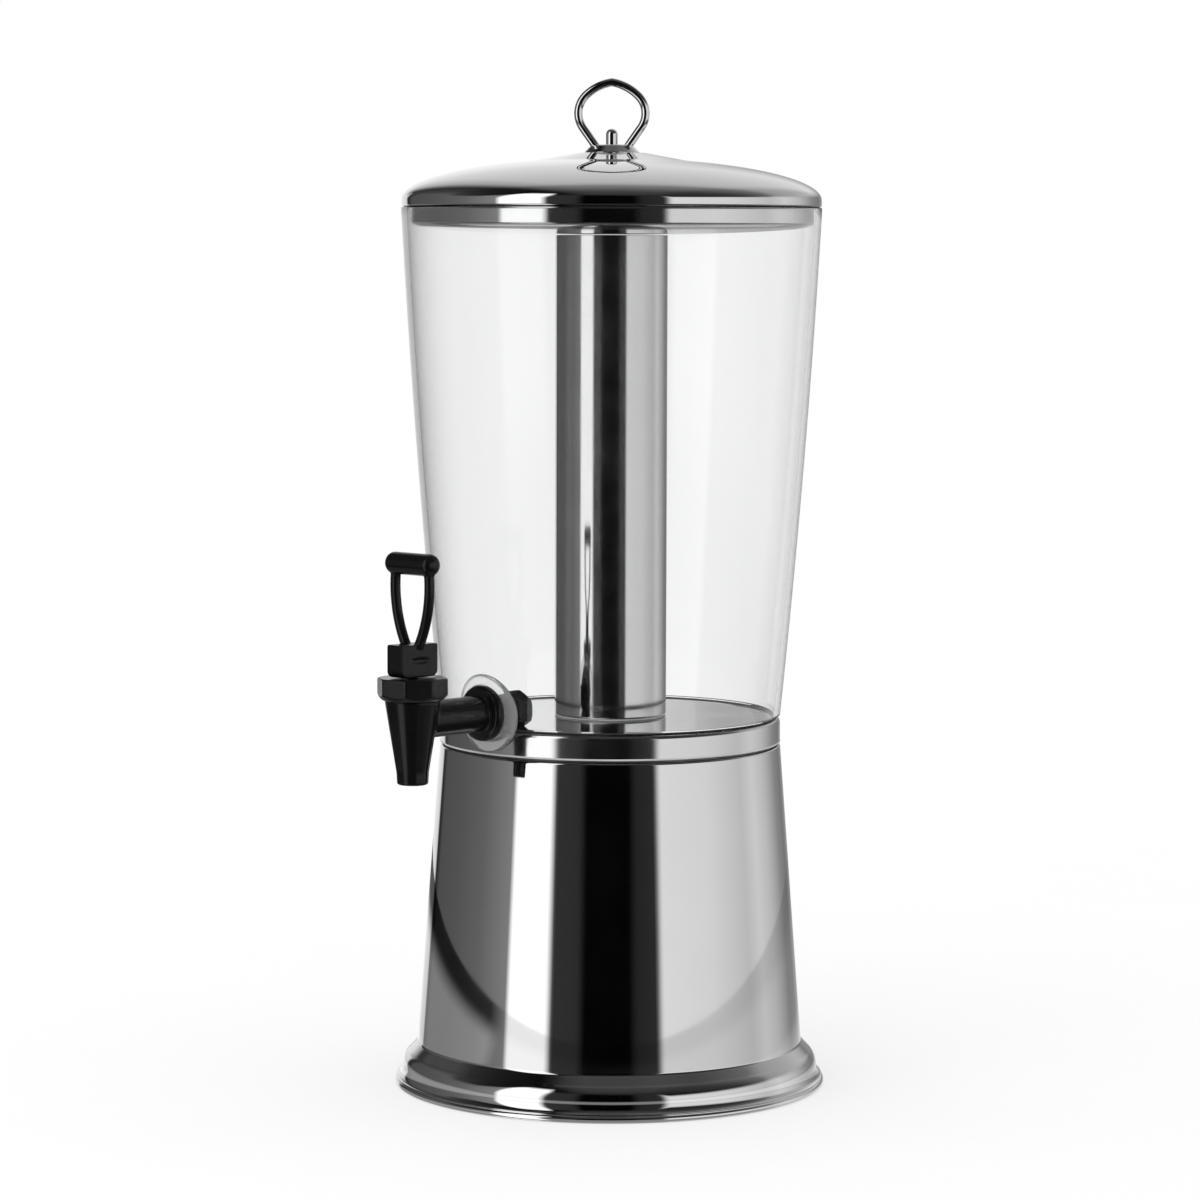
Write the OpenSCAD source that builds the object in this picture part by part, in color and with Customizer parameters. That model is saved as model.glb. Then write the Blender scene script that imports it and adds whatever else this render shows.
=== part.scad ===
// Beverage dispenser: a clear tapered container on a polished steel pedestal,
// with an ice tube in the middle, a domed lid with a loop handle and a lever tap.
// Z is up, the table is at Z = 0, the main axis is at X = Y = 0, the tap points to -Y.

/* [Base] */
// Diameter over the rolled lip that stands on the table
base_d = 230; // [224:1:260]
// Height of the base up to the lower edge of the collar
base_h = 182.5; // [150:0.5:220]
// Step from the collar out to the top of the tapered wall
shoulder_step = 0.2; // [0:0.1:4]
// Step from the foot of the tapered wall out to the foot moulding
waist_step = 8.5; // [7:0.1:12]
// Height where the tapered wall runs into the foot moulding
foot_h = 25.4; // [24:0.2:35]
// Step from the upright part of the foot moulding out to the lip
lip_step = 4; // [3.8:0.1:6]
// Height of the upright part of the foot moulding
foot_upright_h = 10.5; // [8:0.1:12]
// Radius of the foot's rounded shoulder
foot_round_r = 10.5; // [7:0.1:12]
// Turn of the foot's rounded shoulder
foot_turn = 50; // [35:1:60]
// Radius of the cove above the foot
cove_r = 4; // [3:0.1:5]
// Height of the rolled lip
lip_h = 3.8; // [2.5:0.1:5]
// Width of the rolled lip
lip_w = 4; // [3:0.1:6]
// Open seam between the base and the collar
seam_gap = 1.3; // [0.5:0.1:3]
// Thickness of the polished steel sheet
sheet_t = 1; // [0.7:0.1:1.5]
// Inner radius of the sheet's bends
inner_bend_r = 0.5; // [0.3:0.1:1]

/* [Floor cap] */
// Diameter of the collar
collar_d = 181.2; // [176:0.1:182]
// Height of the collar
collar_h = 14; // [10:0.5:24]
// Radius of the bead along the lower edge of the collar
bead_r = 0.7; // [0.6:0.05:1.2]
// Thickness of the seal under the container wall
seal_t = 1.5; // [0.8:0.1:3]

/* [Container] */
// Height of the clear wall
container_h = 269; // [200:1:320]
// Diameter of the clear wall at its top
container_top_d = 222.4; // [221:0.2:240]
// Thickness of the clear wall
wall_t = 3; // [2:0.1:3.4]
// Outward bow of the wall half way up
wall_bow = 1.6; // [0:0.1:3]

/* [Ice tube] */
// Diameter of the ice tube
tube_d = 59.5; // [50:0.5:70]
// Gap between the top of the tube and the lid's liner
tube_top_gap = 1.2; // [0.5:0.1:10]
// Thickness of the gasket under the tube
gasket_t = 1; // [0.5:0.1:3]
// Diameter of the gasket under the tube
gasket_d = 56; // [30:0.5:58]
// Diameter of the threaded stud under the tube
stud_d = 8; // [5:0.5:10]
// Thickness of the washer on the stud
stud_washer_t = 1.6; // [1:0.1:3]
// Diameter of the washer on the stud
stud_washer_d = 24; // [18:0.5:30]
// Height of the wing nut's hub
hub_h = 8; // [6:0.5:12]
// Diameter of the wing nut's hub
hub_d = 15; // [13:0.5:18]
// Span over the wings of the wing nut
wing_span = 40; // [34:1:60]
// Diameter of one wing of the wing nut
wing_d = 15; // [12:0.5:18]
// Thickness of the wings
wing_t = 3; // [2:0.1:5]

/* [Lid] */
// Step from the rim of the lid out to the wall's outer face
lid_step = 0.3; // [0:0.1:1.5]
// Height of the upright rim of the lid
lid_rim_h = 4; // [3:0.1:8]
// Rise of the lid's dome above its rim
dome_rise = 22; // [16:0.5:40]
// Diameter at which the dome turns up to the handle plate
dome_turn_d = 80; // [70:1:90]
// Rise of the slope from there to the flat on top
dome_slope_h = 4.1; // [2:0.1:6]
// Diameter of the flat on top of the dome
dome_flat_d = 36; // [35.5:0.5:42]
// Width of the lid's turned-in flange
lid_flange_w = 7; // [5:0.5:12]
// Room between the liner's skirt, which centres the lid, and the wall
skirt_gap = 1.4; // [1:0.1:3]
// Depth of the liner's skirt
skirt_h = 9.3; // [6:0.1:20]
// Depth of the liner's dish below the skirt
dish_depth = 4.8; // [3:0.1:10]

/* [Loop handle] */
// Diameter of the handle plate
plate_d = 35; // [30:0.5:35]
// Diameter of the flat on top of the handle plate
plate_top_d = 26; // [22:0.2:27]
// Height of the handle plate
plate_h = 2.9; // [2.5:0.1:6]
// Diameter of the loop's rod
rod_d = 4.2; // [3:0.1:4.6]
// Width over the loop
loop_w = 39.6; // [39:0.2:44]
// Height of the loop's side bends above the plate
loop_side_h = 17.8; // [16:0.1:19]
// Radius of the loop's side bends
loop_side_r = 13.1; // [12:0.1:14]
// Radius of the loop's upper arches
loop_top_r = 25.2; // [20:0.1:34]
// Lean of the loop's legs
loop_lean = 35; // [33:1:37]
// Angle where a side bend runs into an upper arch
loop_shoulder = 45; // [40:1:50]
// Turn of the loop about the main axis
loop_turn = 44; // [0:1:90]
// Diameter of the round-topped bolt inside the loop
bolt_d = 6.2; // [4:0.1:8]
// Height of the bolt above the plate
bolt_rise = 9.8; // [6:0.1:14]
// Thickness of the nut under the dome
bolt_nut_h = 4.5; // [3:0.1:8]
// Width of the nut under the dome across its flats
bolt_nut_af = 10.5; // [10:0.1:15]
// Thickness of the washer under the dome
bolt_washer_t = 1.2; // [0.8:0.1:3]
// Diameter of the washer under the dome
bolt_washer_d = 18; // [16:0.5:30]

/* [Tap] */
// Height of the tap's shank above the floor of the container
tap_rise = 9.5; // [9.5:0.1:20]
// Length of the smooth shank from the flange to the tap's upright axis
shank_l = 46.4; // [38:0.2:70]
// Diameter of the clear boss between the wall and the tap
boss_d = 40.6; // [32:0.2:42]
// Thickness of the boss at the shank
boss_t = 2.8; // [2:0.1:10]
// Diameter of the tap's flange
flange_d = 29; // [24:0.5:32]
// Thickness of the tap's flange
flange_t = 4; // [2:0.1:8]
// Thickness of the rubber washer under the flange
washer_t = 1.4; // [0.8:0.1:3]
// Thickness of the rubber washer inside the container
inner_washer_t = 9.5; // [3:0.5:14]
// Diameter of the tap's smooth shank
shank_d = 19; // [15:0.5:20]
// Diameter of the tap's threaded shank
thread_d = 12.6; // [11:0.1:14]
// Bore of the tap's shank
shank_bore_d = 8.8; // [6:0.1:9]
// Width of the shank's nut across its flats
nut_af = 18; // [16:0.5:18.5]
// Thickness of the shank's nut
nut_t = 10; // [5:0.5:14]
// Free end of the thread beyond the nut
thread_end = 1; // [0.5:0.5:10]
// Height of the tap's body from the spout's mouth to the bonnet
body_h = 43.4; // [38:0.2:60]
// Height of the body's top above the shank
body_top_rise = 10.9; // [10.5:0.1:16]
// Diameter of the body under the bonnet
body_d = 28.6; // [28:0.2:31]
// Diameter of the spout at its mouth
spout_d = 16; // [15:0.2:20]
// Diameter of the spout where its straight end begins
spout_neck_d = 16.6; // [16:0.2:20]
// Length of the spout's straight end
spout_end_h = 6.4; // [3:0.2:12]
// Bore of the spout
spout_bore_d = 10.6; // [7:0.2:11.6]
// Width of the octagonal bonnet over its corners
bonnet_d = 36.8; // [35:0.2:44]
// Height of the bonnet
bonnet_h = 11.5; // [10:0.1:16]
// Turn of the bonnet's corners
bonnet_turn = 35; // [0:1:45]
// Thickness of the bonnet's top
bonnet_t = 3; // [2:0.1:4]
// Height and width of the bonnet's lower chamfer
bonnet_chamfer = 3; // [1:0.1:4]
// Depth of the thread that the bonnet screws on
neck_step = 1.8; // [1.2:0.1:2]

/* [Lever] */
// Length of the lever's cam block along the tap
block_l = 25; // [22:0.5:30]
// Width of the cam block
block_w = 11.5; // [10.5:0.1:16]
// Height of the cam block
block_h = 16.8; // [15:0.1:22]
// Corner radius of the cam
cam_r = 3.5; // [2.5:0.1:5]
// Greatest tilt that the stem's slot is cut for
slot_tilt = 34; // [30:1:36]
// Length of the oval recess on the sides of the block
recess_l = 13; // [8:0.5:16]
// Height of the oval recess
recess_h = 3.2; // [3:0.1:5]
// Depth of the oval recess
recess_t = 0.8; // [0.4:0.1:1.2]
// Height of the grip's centre above the bonnet
grip_rise = 57.8; // [52:0.2:80]
// Diameter of the grip
grip_d = 11.4; // [10:0.2:15]
// Length of the grip
grip_l = 34; // [32:0.5:46]
// Rounding of the grip's ends
grip_round = 4.6; // [2:0.1:4.9]
// Diameter of the lever's arms
arm_d = 5.3; // [4:0.1:6.5]
// Distance between the arms at the grip
arm_gap = 24.9; // [22:0.1:28]
// Distance between the arms at the cam block
arm_foot_gap = 9.4; // [8:0.1:14]
// Height of the grip's centre above the widest point of the arms
arm_wide_drop = 11; // [7:0.2:16]

/* [Valve] */
// Diameter of the valve's stem
stem_d = 5; // [4:0.1:5.4]
// Diameter of the lever's pin
pin_d = 2.5; // [2:0.1:2.8]
// Diameter of the silicone seat cup
cup_d = 18; // [15:0.2:18.6]
// Height of the straight part of the seat cup
cup_h = 3.4; // [2:0.1:4]
// Height of the valve's conical seat
seat_h = 9; // [7:0.1:10]
// Depth of the seat below the shank's axis
seat_drop = 8.4; // [7:0.1:10]
// Diameter over the valve's spring
spring_d = 13.2; // [10:0.1:15]
// Diameter of the spring's wire
wire_d = 1.2; // [0.8:0.1:1.6]
// Turns of the spring
spring_turns = 5; // [3:1:7]

/* [Clearances] */
// Slip fit between nested sheet parts
nest_gap = 0.4; // [0.2:0.05:0.8]
// Running clearance of moving parts
run_gap = 0.3; // [0.2:0.05:0.5]
// Running clearance of the lever on its pin
pin_gap = 0.05; // [0.02:0.01:0.1]
// Gap under the cam block at rest
cam_gap = 0.4; // [0.3:0.05:0.8]
// Room around the seat cup
cup_gap = 1; // [0.6:0.1:1.5]
// Clearance of a hole around a screw thread
hole_gap = 0.3; // [0.1:0.05:0.6]

/* [Hidden] */
$fn = 96;

// Colours of the materials
steel = [0.80, 0.80, 0.79];
zinc = [0.62, 0.62, 0.60];
clear = [0.86, 0.90, 0.91, 0.35];
black = [0.05, 0.05, 0.055];
rubber = [0.09, 0.09, 0.09];
grey_silicone = [0.34, 0.35, 0.36];
white_silicone = [0.86, 0.86, 0.84];

// Diameters that follow from their neighbours
foot_d = base_d - 2 * lip_step;
base_waist_d = foot_d - 2 * waist_step;
base_top_d = collar_d + 2 * shoulder_step;
lid_d = container_top_d - 2 * lid_step;
skirt_d = container_top_d - 2 * (wall_t + skirt_gap);

// Heights from the table up
floor_z = base_h + collar_h;
wall_z = floor_z + seal_t;
rim_z = wall_z + container_h;
dome_z = rim_z + lid_rim_h;
plate_z = dome_z + dome_rise * sqrt(1 - pow(dome_turn_d / lid_d, 2)) + dome_slope_h;
loop_z = plate_z + plate_h;
skirt_z = rim_z - skirt_h;
tube_z = floor_z + gasket_t;
tube_h = skirt_z - dish_depth - tube_top_gap - tube_z;
under_z = floor_z - sheet_t;
tap_z = floor_z + tap_rise;
bonnet_z = tap_z + body_top_rise;
bonnet_top_z = bonnet_z + bonnet_h;
spout_z = bonnet_z - body_h;
cam_z = bonnet_top_z + cam_gap;
pin_z = cam_z + block_h / 2;
block_top_z = cam_z + block_h;
grip_z = bonnet_top_z + grip_rise;

// Outer radius of the sheet's bends, small chamfers, overlap of joined or cut shapes
bend_r = sheet_t + inner_bend_r;
chamfer = 0.6;
lap = 1;

// Steps of the curved outlines
arc_steps = 6;
bow_steps = 16;
dome_steps = 22;

// Radius of the bowed wall at height z
wall_r0 = collar_d / 2;
wall_r1 = container_top_d / 2;
function wall_r(z) =
    let (s = (z - wall_z) / container_h)
    wall_r0 + (wall_r1 - wall_r0) * s + 4 * wall_bow * s * (1 - s);

// Inner radius of the seal, just inside the wall
seal_r = wall_r0 - wall_t - chamfer / 2;

// Planes across the tap's shank, as distances from the main axis
boss_y = wall_r(tap_z) + boss_t;
flange_y = boss_y + washer_t;
shank_y = flange_y + flange_t;
tap_reach = shank_y + shank_l;
washer_y = seal_r - nest_gap - inner_washer_t;
nut_y = washer_y - nut_t;
thread_y = nut_y - thread_end;

// Tap's valve chamber and its conical seat, and the cup that lies on it
neck_d = body_d - 2 * neck_step;
neck_h = bonnet_h - bonnet_t - lap;
chamber_d = cup_d + 2 * cup_gap;
seat_z = tap_z - seat_drop;
seat_slope = (chamber_d - spout_bore_d) / 2 / seat_h;
cup_z = seat_z + run_gap * sqrt(1 + seat_slope * seat_slope) / seat_slope;
cup_cone_h = (cup_d - spout_bore_d) / 2 / seat_slope;
cup_top_z = cup_z + cup_cone_h + cup_h;
spring_top_z = bonnet_top_z - bonnet_t;

// Points of an arc about c from angle a0 to a1, with radii rx and ry
function oval(c, rx, ry, a0, a1, n = arc_steps) =
    [for (i = [0:n]) let (a = a0 + (a1 - a0) * i / n) c + [rx * cos(a), ry * sin(a)]];
function arc(c, r, a0, a1, n = arc_steps) = oval(c, r, r, a0, a1, n);

// A list without its first entry
function tail(list) = [for (i = [1:len(list) - 1]) list[i]];
function unit(v) = v / norm(v);
function left_of(a, b) = let (d = unit(b - a)) [-d[1], d[0]];

// Point i of a path moved to its left by t, mitred at the corners
function side_point(path, i, t) =
    let (
        last = len(path) - 1,
        j = max(i, 1),
        k = min(i, last - 1),
        n0 = left_of(path[j - 1], path[j]),
        n1 = left_of(path[k], path[k + 1]),
        m = unit(n0 + n1)
    )
    path[i] + m * t / (m * n0);

// Closed outline of a sheet of thickness t to the left of a path
function sheet(path, t) =
    concat(path, [for (i = [len(path) - 1:-1:0]) side_point(path, i, t)]);

// An outline turned about the main axis
module spun(outline) {
    rotate_extrude($fn = 128)
        polygon(outline);
}

// A ring standing on height z
module ring(z, h, r_out, r_in) {
    spun([[r_in, z], [r_out, z], [r_out, z + h], [r_in, z + h]]);
}

// A rod along the tap's shank, from distance y0 to y1 off the main axis
module shank_rod(y0, y1, d) {
    translate([0, 0, tap_z])
        rotate([90, 0, 0])
            translate([0, 0, y0])
                cylinder(h = y1 - y0, d = d);
}

// A hexagonal nut of width af over its flats, standing on Z = 0
module hex_nut(af, h, bore) {
    difference() {
        cylinder(h = h, d = af / cos(30), $fn = 6);
        translate([0, 0, -lap])
            cylinder(h = h + 2 * lap, d = bore);
    }
}

module at_tap() {
    translate([0, -tap_reach, 0])
        children();
}

// Part of a bent rod in the XZ plane, about c from angle a0 to a1
module bent_rod(c, r, d, a0, a1) {
    translate([c[0], 0, c[1]])
        rotate([90, 0, 0])
            rotate([0, 0, a0])
                rotate_extrude(angle = a1 - a0)
                    translate([r, 0])
                        circle(d = d, $fn = 48);
}

// Outer outline of the wall from the bottom up, moved in by inset
function wall_outline(inset) =
    [for (i = [0:bow_steps]) let (z = wall_z + container_h * i / bow_steps)
        [wall_r(z) - inset, z]];

// Outer outline of the base, from inside the lip up to the neck
function base_path() =
    let (
        flare_x = base_d / 2 - lap,
        up_r = foot_d / 2,
        shoulder_z = base_h - seam_gap,
        neck_r = wall_r0 - bend_r - nest_gap
    )
    concat(
        [[flare_x + chamfer / 2, lip_h - lap]],
        oval([flare_x, foot_upright_h], flare_x - up_r, foot_upright_h - lip_h - chamfer, 270, 180),
        tail(arc([up_r - foot_round_r, foot_upright_h], foot_round_r, 0, foot_turn)),
        arc([base_waist_d / 2 + cove_r, foot_h], cove_r, 180 + foot_turn, 180),
        arc([base_top_d / 2 - bend_r, shoulder_z - bend_r], bend_r, 0, 90),
        [[neck_r, shoulder_z], [neck_r, under_z]]
    );

module base_shell() {
    color(steel)
        rotate_extrude($fn = 128) {
            polygon(sheet(base_path(), sheet_t));
            polygon(concat(
                [[base_d / 2 - lip_w, 0]],
                arc([base_d / 2 - lap, lap], lap, 270, 360),
                arc([base_d / 2 - lap, lip_h - lap], lap, 0, 90),
                [[base_d / 2 - lip_w, lip_h]]
            ));
        }
}

module floor_cap() {
    color(steel)
        difference() {
            rotate_extrude($fn = 128) {
                polygon(sheet(concat(
                    [[wall_r0, base_h]],
                    arc([wall_r0 - bend_r, floor_z - bend_r], bend_r, 0, 90),
                    [[0, floor_z]]
                ), sheet_t));
                translate([wall_r0 - sheet_t + bead_r, base_h + bead_r])
                    circle(r = bead_r, $fn = 24);
            }
            translate([0, 0, under_z - lap])
                cylinder(h = sheet_t + 2 * lap, d = stud_d + 2 * hole_gap);
        }
}

module container_seal() {
    color(grey_silicone)
        ring(floor_z, seal_t, wall_r0 - bend_r, seal_r);
}

module container_wall() {
    inner = wall_outline(wall_t);
    outer = wall_outline(0);
    color(clear)
        difference() {
            spun(concat(
                [for (i = [0:bow_steps - 1]) outer[i]],
                [outer[bow_steps] - [0, chamfer], outer[bow_steps] - [chamfer, 0]],
                [inner[bow_steps] + [chamfer, 0], inner[bow_steps] - [0, chamfer]],
                [for (i = [bow_steps - 1:-1:0]) inner[i]]
            ));
            shank_rod(washer_y, boss_y + lap, thread_d + 2 * hole_gap);
        }
}

module ice_tube() {
    r = tube_d / 2;
    color(steel)
        spun(sheet(concat(
            [[0, tube_z]],
            arc([r - bend_r, tube_z + bend_r], bend_r, 270, 360),
            [[r, tube_z + tube_h]]
        ), sheet_t));
}

module tube_gasket() {
    color(grey_silicone)
        ring(floor_z, gasket_t, gasket_d / 2, stud_d / 2 + hole_gap);
}

module tube_stud() {
    end_z = under_z - stud_washer_t - hub_h - stud_d / 2;
    color(zinc)
        translate([0, 0, end_z])
            cylinder(h = tube_z - end_z, d = stud_d);
}

module stud_washer() {
    color(zinc)
        ring(under_z - stud_washer_t, stud_washer_t, stud_washer_d / 2, stud_d / 2 + hole_gap);
}

module wing_nut() {
    top_z = under_z - stud_washer_t;
    color(zinc)
        difference() {
            union() {
                translate([0, 0, top_z - hub_h])
                    cylinder(h = hub_h, d = hub_d);
                for (side = [-1, 1])
                    translate([side * (wing_span - wing_d) / 2, 0, top_z - hub_h])
                        rotate([90, 0, 0])
                            translate([0, 0, -wing_t / 2])
                                cylinder(h = wing_t, d = wing_d);
            }
            translate([0, 0, top_z - hub_h - lap])
                cylinder(h = hub_h + 2 * lap, d = stud_d);
        }
}

module tap_boss() {
    outer = [for (p = wall_outline(0)) p + [nest_gap, 0]];
    color(clear)
        difference() {
            shank_rod(washer_y, boss_y, boss_d);
            spun(concat(
                [[0, base_h], [wall_r0 + nest_gap, base_h]],
                outer,
                [[0, rim_z]]
            ));
            shank_rod(washer_y - lap, boss_y + lap, thread_d + 2 * hole_gap);
        }
}

module tap_outer_washer() {
    color(rubber)
        difference() {
            shank_rod(boss_y, flange_y, flange_d);
            shank_rod(boss_y - lap, flange_y + lap, thread_d);
        }
}

module tap_body() {
    top_z = bonnet_z + neck_h;
    color(black)
        difference() {
            union() {
                at_tap()
                    spun([
                        [0, spout_z],
                        [spout_d / 2 - chamfer, spout_z],
                        [spout_d / 2, spout_z + chamfer],
                        [spout_neck_d / 2, spout_z + spout_end_h],
                        [body_d / 2, bonnet_z],
                        [neck_d / 2, bonnet_z],
                        [neck_d / 2, top_z],
                        [0, top_z],
                    ]);
                shank_rod(shank_y - lap, tap_reach, shank_d);
                shank_rod(flange_y, shank_y, flange_d);
                shank_rod(thread_y, flange_y + lap, thread_d);
            }
            at_tap()
                spun([
                    [0, spout_z - lap],
                    [spout_bore_d / 2, spout_z - lap],
                    [spout_bore_d / 2, seat_z],
                    [chamber_d / 2, seat_z + seat_h],
                    [chamber_d / 2, top_z + lap],
                    [0, top_z + lap],
                ]);
            shank_rod(thread_y - lap, tap_reach, shank_bore_d);
        }
}

module tap_inner_washer() {
    inner = [for (p = wall_outline(wall_t)) p - [nest_gap / 2, 0]];
    foot_r = seal_r - nest_gap / 2;
    color(rubber)
        difference() {
            intersection() {
                shank_rod(washer_y, wall_r0, nut_af);
                spun(concat(
                    [[0, floor_z], [foot_r, floor_z], [foot_r, wall_z]],
                    inner,
                    [[0, rim_z]]
                ));
            }
            shank_rod(washer_y - lap, wall_r0 + lap, thread_d);
        }
}

module tap_nut() {
    color(black)
        translate([0, -nut_y, tap_z])
            rotate([90, 0, 0])
                hex_nut(nut_af, nut_t, thread_d);
}

module tap_bonnet() {
    r = bonnet_d / 2;
    color(black)
        at_tap()
            difference() {
                intersection() {
                    translate([0, 0, bonnet_z])
                        rotate([0, 0, bonnet_turn])
                            cylinder(h = bonnet_h, r = r, $fn = 8);
                    spun([
                        [0, bonnet_z],
                        [r - bonnet_chamfer, bonnet_z],
                        [r, bonnet_z + bonnet_chamfer],
                        [r, bonnet_top_z - chamfer],
                        [r - 2 * chamfer, bonnet_top_z],
                        [0, bonnet_top_z],
                    ]);
                }
                translate([0, 0, bonnet_z - lap])
                    cylinder(h = bonnet_h - bonnet_t + lap, d = neck_d);
                translate([0, 0, bonnet_z])
                    cylinder(h = bonnet_h + lap, d = stem_d + 2 * run_gap);
            }
}

// Wire of the spring as rings of points along a helix, closed at both ends
module valve_spring() {
    sides = 8;
    rings = spring_turns * 16;
    r = (spring_d - wire_d) / 2;
    z0 = cup_top_z + wire_d / 2 + chamfer / 2;
    z1 = spring_top_z - wire_d / 2 - chamfer / 2;
    points = [
        for (i = [0:rings], j = [0:sides - 1])
            let (
                a = 360 * spring_turns * i / rings,
                b = 360 * j / sides,
                q = r + wire_d / 2 * cos(b)
            )
            [q * cos(a), q * sin(a), z0 + (z1 - z0) * i / rings + wire_d / 2 * sin(b)]
    ];
    sides_of_wire = [
        for (i = [0:rings - 1], j = [0:sides - 1])
            let (k = (j + 1) % sides)
            [i * sides + j, (i + 1) * sides + j, (i + 1) * sides + k, i * sides + k]
    ];
    first_end = [for (j = [0:sides - 1]) j];
    last_end = [for (j = [sides - 1:-1:0]) rings * sides + j];
    color(zinc)
        at_tap()
            polyhedron(points, concat(sides_of_wire, [first_end, last_end]));
}

module valve_stem() {
    foot_z = cup_top_z - cup_h - chamfer;
    color(black)
        at_tap()
            difference() {
                translate([0, 0, foot_z])
                    cylinder(h = pin_z + stem_d / 2 - foot_z, d = stem_d);
                translate([-stem_d, 0, pin_z])
                    rotate([0, 90, 0])
                        cylinder(h = 2 * stem_d, d = pin_d);
            }
}

module seat_cup() {
    color(white_silicone)
        at_tap()
            difference() {
                spun([
                    [0, cup_z],
                    [spout_bore_d / 2, cup_z],
                    [cup_d / 2, cup_z + cup_cone_h],
                    [cup_d / 2, cup_top_z],
                    [0, cup_top_z],
                ]);
                translate([0, 0, cup_top_z - cup_h - chamfer])
                    cylinder(h = cup_h + chamfer + lap, d = stem_d);
            }
}

module lever_pin() {
    l = block_w - 2 * recess_t;
    color(zinc)
        at_tap()
            translate([-l / 2, 0, pin_z])
                rotate([0, 90, 0])
                    cylinder(h = l, d = pin_d);
}

// Side view of the cam block in YZ, standing on the cam gap
module block_outline() {
    top_r = 2 * chamfer;
    half = block_l / 2;
    translate([-half, cam_r])
        square([block_l, block_h - cam_r - top_r]);
    translate([cam_r - half, 0])
        square([block_l - 2 * cam_r, block_h]);
    translate([top_r - half, block_h / 2])
        square([block_l - 2 * top_r, block_h / 2]);
    for (side = [-1, 1]) {
        translate([side * (half - cam_r), cam_r])
            circle(r = cam_r);
        translate([side * (half - top_r), block_h - top_r])
            circle(r = top_r);
    }
}

// Room that the upright stem sweeps in the block as the lever tilts
module slot_outline() {
    r = stem_d / 2 + run_gap;
    drop = block_h / 2 + lap;
    translate([0, block_h / 2]) {
        circle(r = stem_d * sqrt(0.5) + run_gap);
        polygon([
            [r, 0],
            [r, -drop],
            [-drop * tan(slot_tilt) - r / cos(slot_tilt), -drop],
            [-r * cos(slot_tilt), r * sin(slot_tilt)],
        ]);
    }
}

// An outline in YZ made solid to a width w about X = x
module side_slab(x, w) {
    translate([x - w / 2, 0, 0])
        rotate([90, 0, 90])
            linear_extrude(height = w)
                children();
}

// The grip's outline to one side of its axis, with rounded ends
module grip_outline() {
    r = grip_d / 2;
    square([r - grip_round, grip_l]);
    translate([0, grip_round])
        square([r, grip_l - 2 * grip_round]);
    for (end = [grip_round, grip_l - grip_round])
        translate([r - grip_round, end])
            intersection() {
                circle(r = grip_round);
                translate([grip_round - r, -grip_round])
                    square([r, 2 * grip_round]);
            }
}

module tap_lever() {
    foot = arm_foot_gap / 2;
    top = arm_gap / 2;
    wide_z = grip_z - arm_wide_drop;
    fall = wide_z - block_top_z + lap;
    sweep = 2 * atan((top - foot) / fall);
    bow_r = fall / sin(sweep);
    rise = asin(arm_wide_drop / bow_r);
    color(black)
        at_tap()
            difference() {
                union() {
                    translate([0, 0, cam_z])
                        side_slab(0, block_w)
                            block_outline();
                    for (side = [0, 1])
                        mirror([side, 0, 0])
                            bent_rod([top - bow_r, wide_z], bow_r, arm_d, -sweep, rise);
                    translate([-grip_l / 2, 0, grip_z])
                        rotate([0, 90, 0])
                            rotate_extrude()
                                grip_outline();
                }
                translate([0, 0, cam_z])
                    side_slab(0, stem_d + 2 * run_gap)
                        slot_outline();
                translate([-block_w, 0, pin_z])
                    rotate([0, 90, 0])
                        cylinder(h = 2 * block_w, d = pin_d + 2 * pin_gap);
                for (side = [-1, 1])
                    translate([0, 0, pin_z])
                        side_slab(side * block_w / 2, 2 * recess_t) {
                            translate([(recess_h - recess_l) / 2, -recess_h / 2])
                                square([recess_l - recess_h, recess_h]);
                            for (end = [-1, 1])
                                translate([end * (recess_l - recess_h) / 2, 0])
                                    circle(d = recess_h);
                        }
            }
}

module lid_dome() {
    r = lid_d / 2;
    turn_a = acos(dome_turn_d / lid_d);
    color(steel)
        difference() {
            spun(sheet(concat(
                [[r - lid_flange_w, rim_z]],
                arc([r - bend_r, rim_z + bend_r], bend_r, 270, 360),
                oval([0, dome_z], r, dome_rise, 0, turn_a, dome_steps),
                [[dome_flat_d / 2, plate_z], [0, plate_z]]
            ), sheet_t));
            translate([0, 0, plate_z - sheet_t - lap])
                cylinder(h = sheet_t + 2 * lap, d = bolt_d + 2 * hole_gap);
        }
}

module lid_liner() {
    r = skirt_d / 2;
    dish_r = r - bend_r;
    flat_a = 80;
    edge_a = 8;
    dish = oval([0, skirt_z], dish_r, -dish_depth / sin(flat_a), flat_a, edge_a, dome_steps / 2);
    color(steel)
        spun(sheet(concat(
            [[0, skirt_z - dish_depth]],
            dish,
            arc([r - bend_r, skirt_z + bend_r], bend_r, 300, 360),
            [[r, rim_z]]
        ), sheet_t));
}

module handle_plate() {
    color(steel)
        spun([
            [bolt_d / 2, plate_z],
            [plate_d / 2 - chamfer, plate_z],
            [plate_d / 2, plate_z + chamfer],
            [plate_top_d / 2, loop_z],
            [bolt_d / 2, loop_z],
        ]);
}

// One side of the loop's centreline, from below the plate's top up to the apex
function loop_side() =
    let (
        side_c = [loop_w / 2 - rod_d / 2 - loop_side_r, loop_z + loop_side_h],
        bend_end = side_c + loop_side_r * [cos(loop_lean), -sin(loop_lean)],
        leg_l = (bend_end[1] - loop_z + rod_d) / cos(loop_lean),
        leg_end = bend_end - leg_l * [sin(loop_lean), cos(loop_lean)],
        top_c = side_c + (loop_side_r - loop_top_r) * [cos(loop_shoulder), sin(loop_shoulder)],
        apex = acos(-top_c[0] / loop_top_r)
    )
    concat(
        [leg_end],
        arc(side_c, loop_side_r, -loop_lean, loop_shoulder, 2 * arc_steps),
        tail(arc(top_c, loop_top_r, loop_shoulder, apex))
    );

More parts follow.
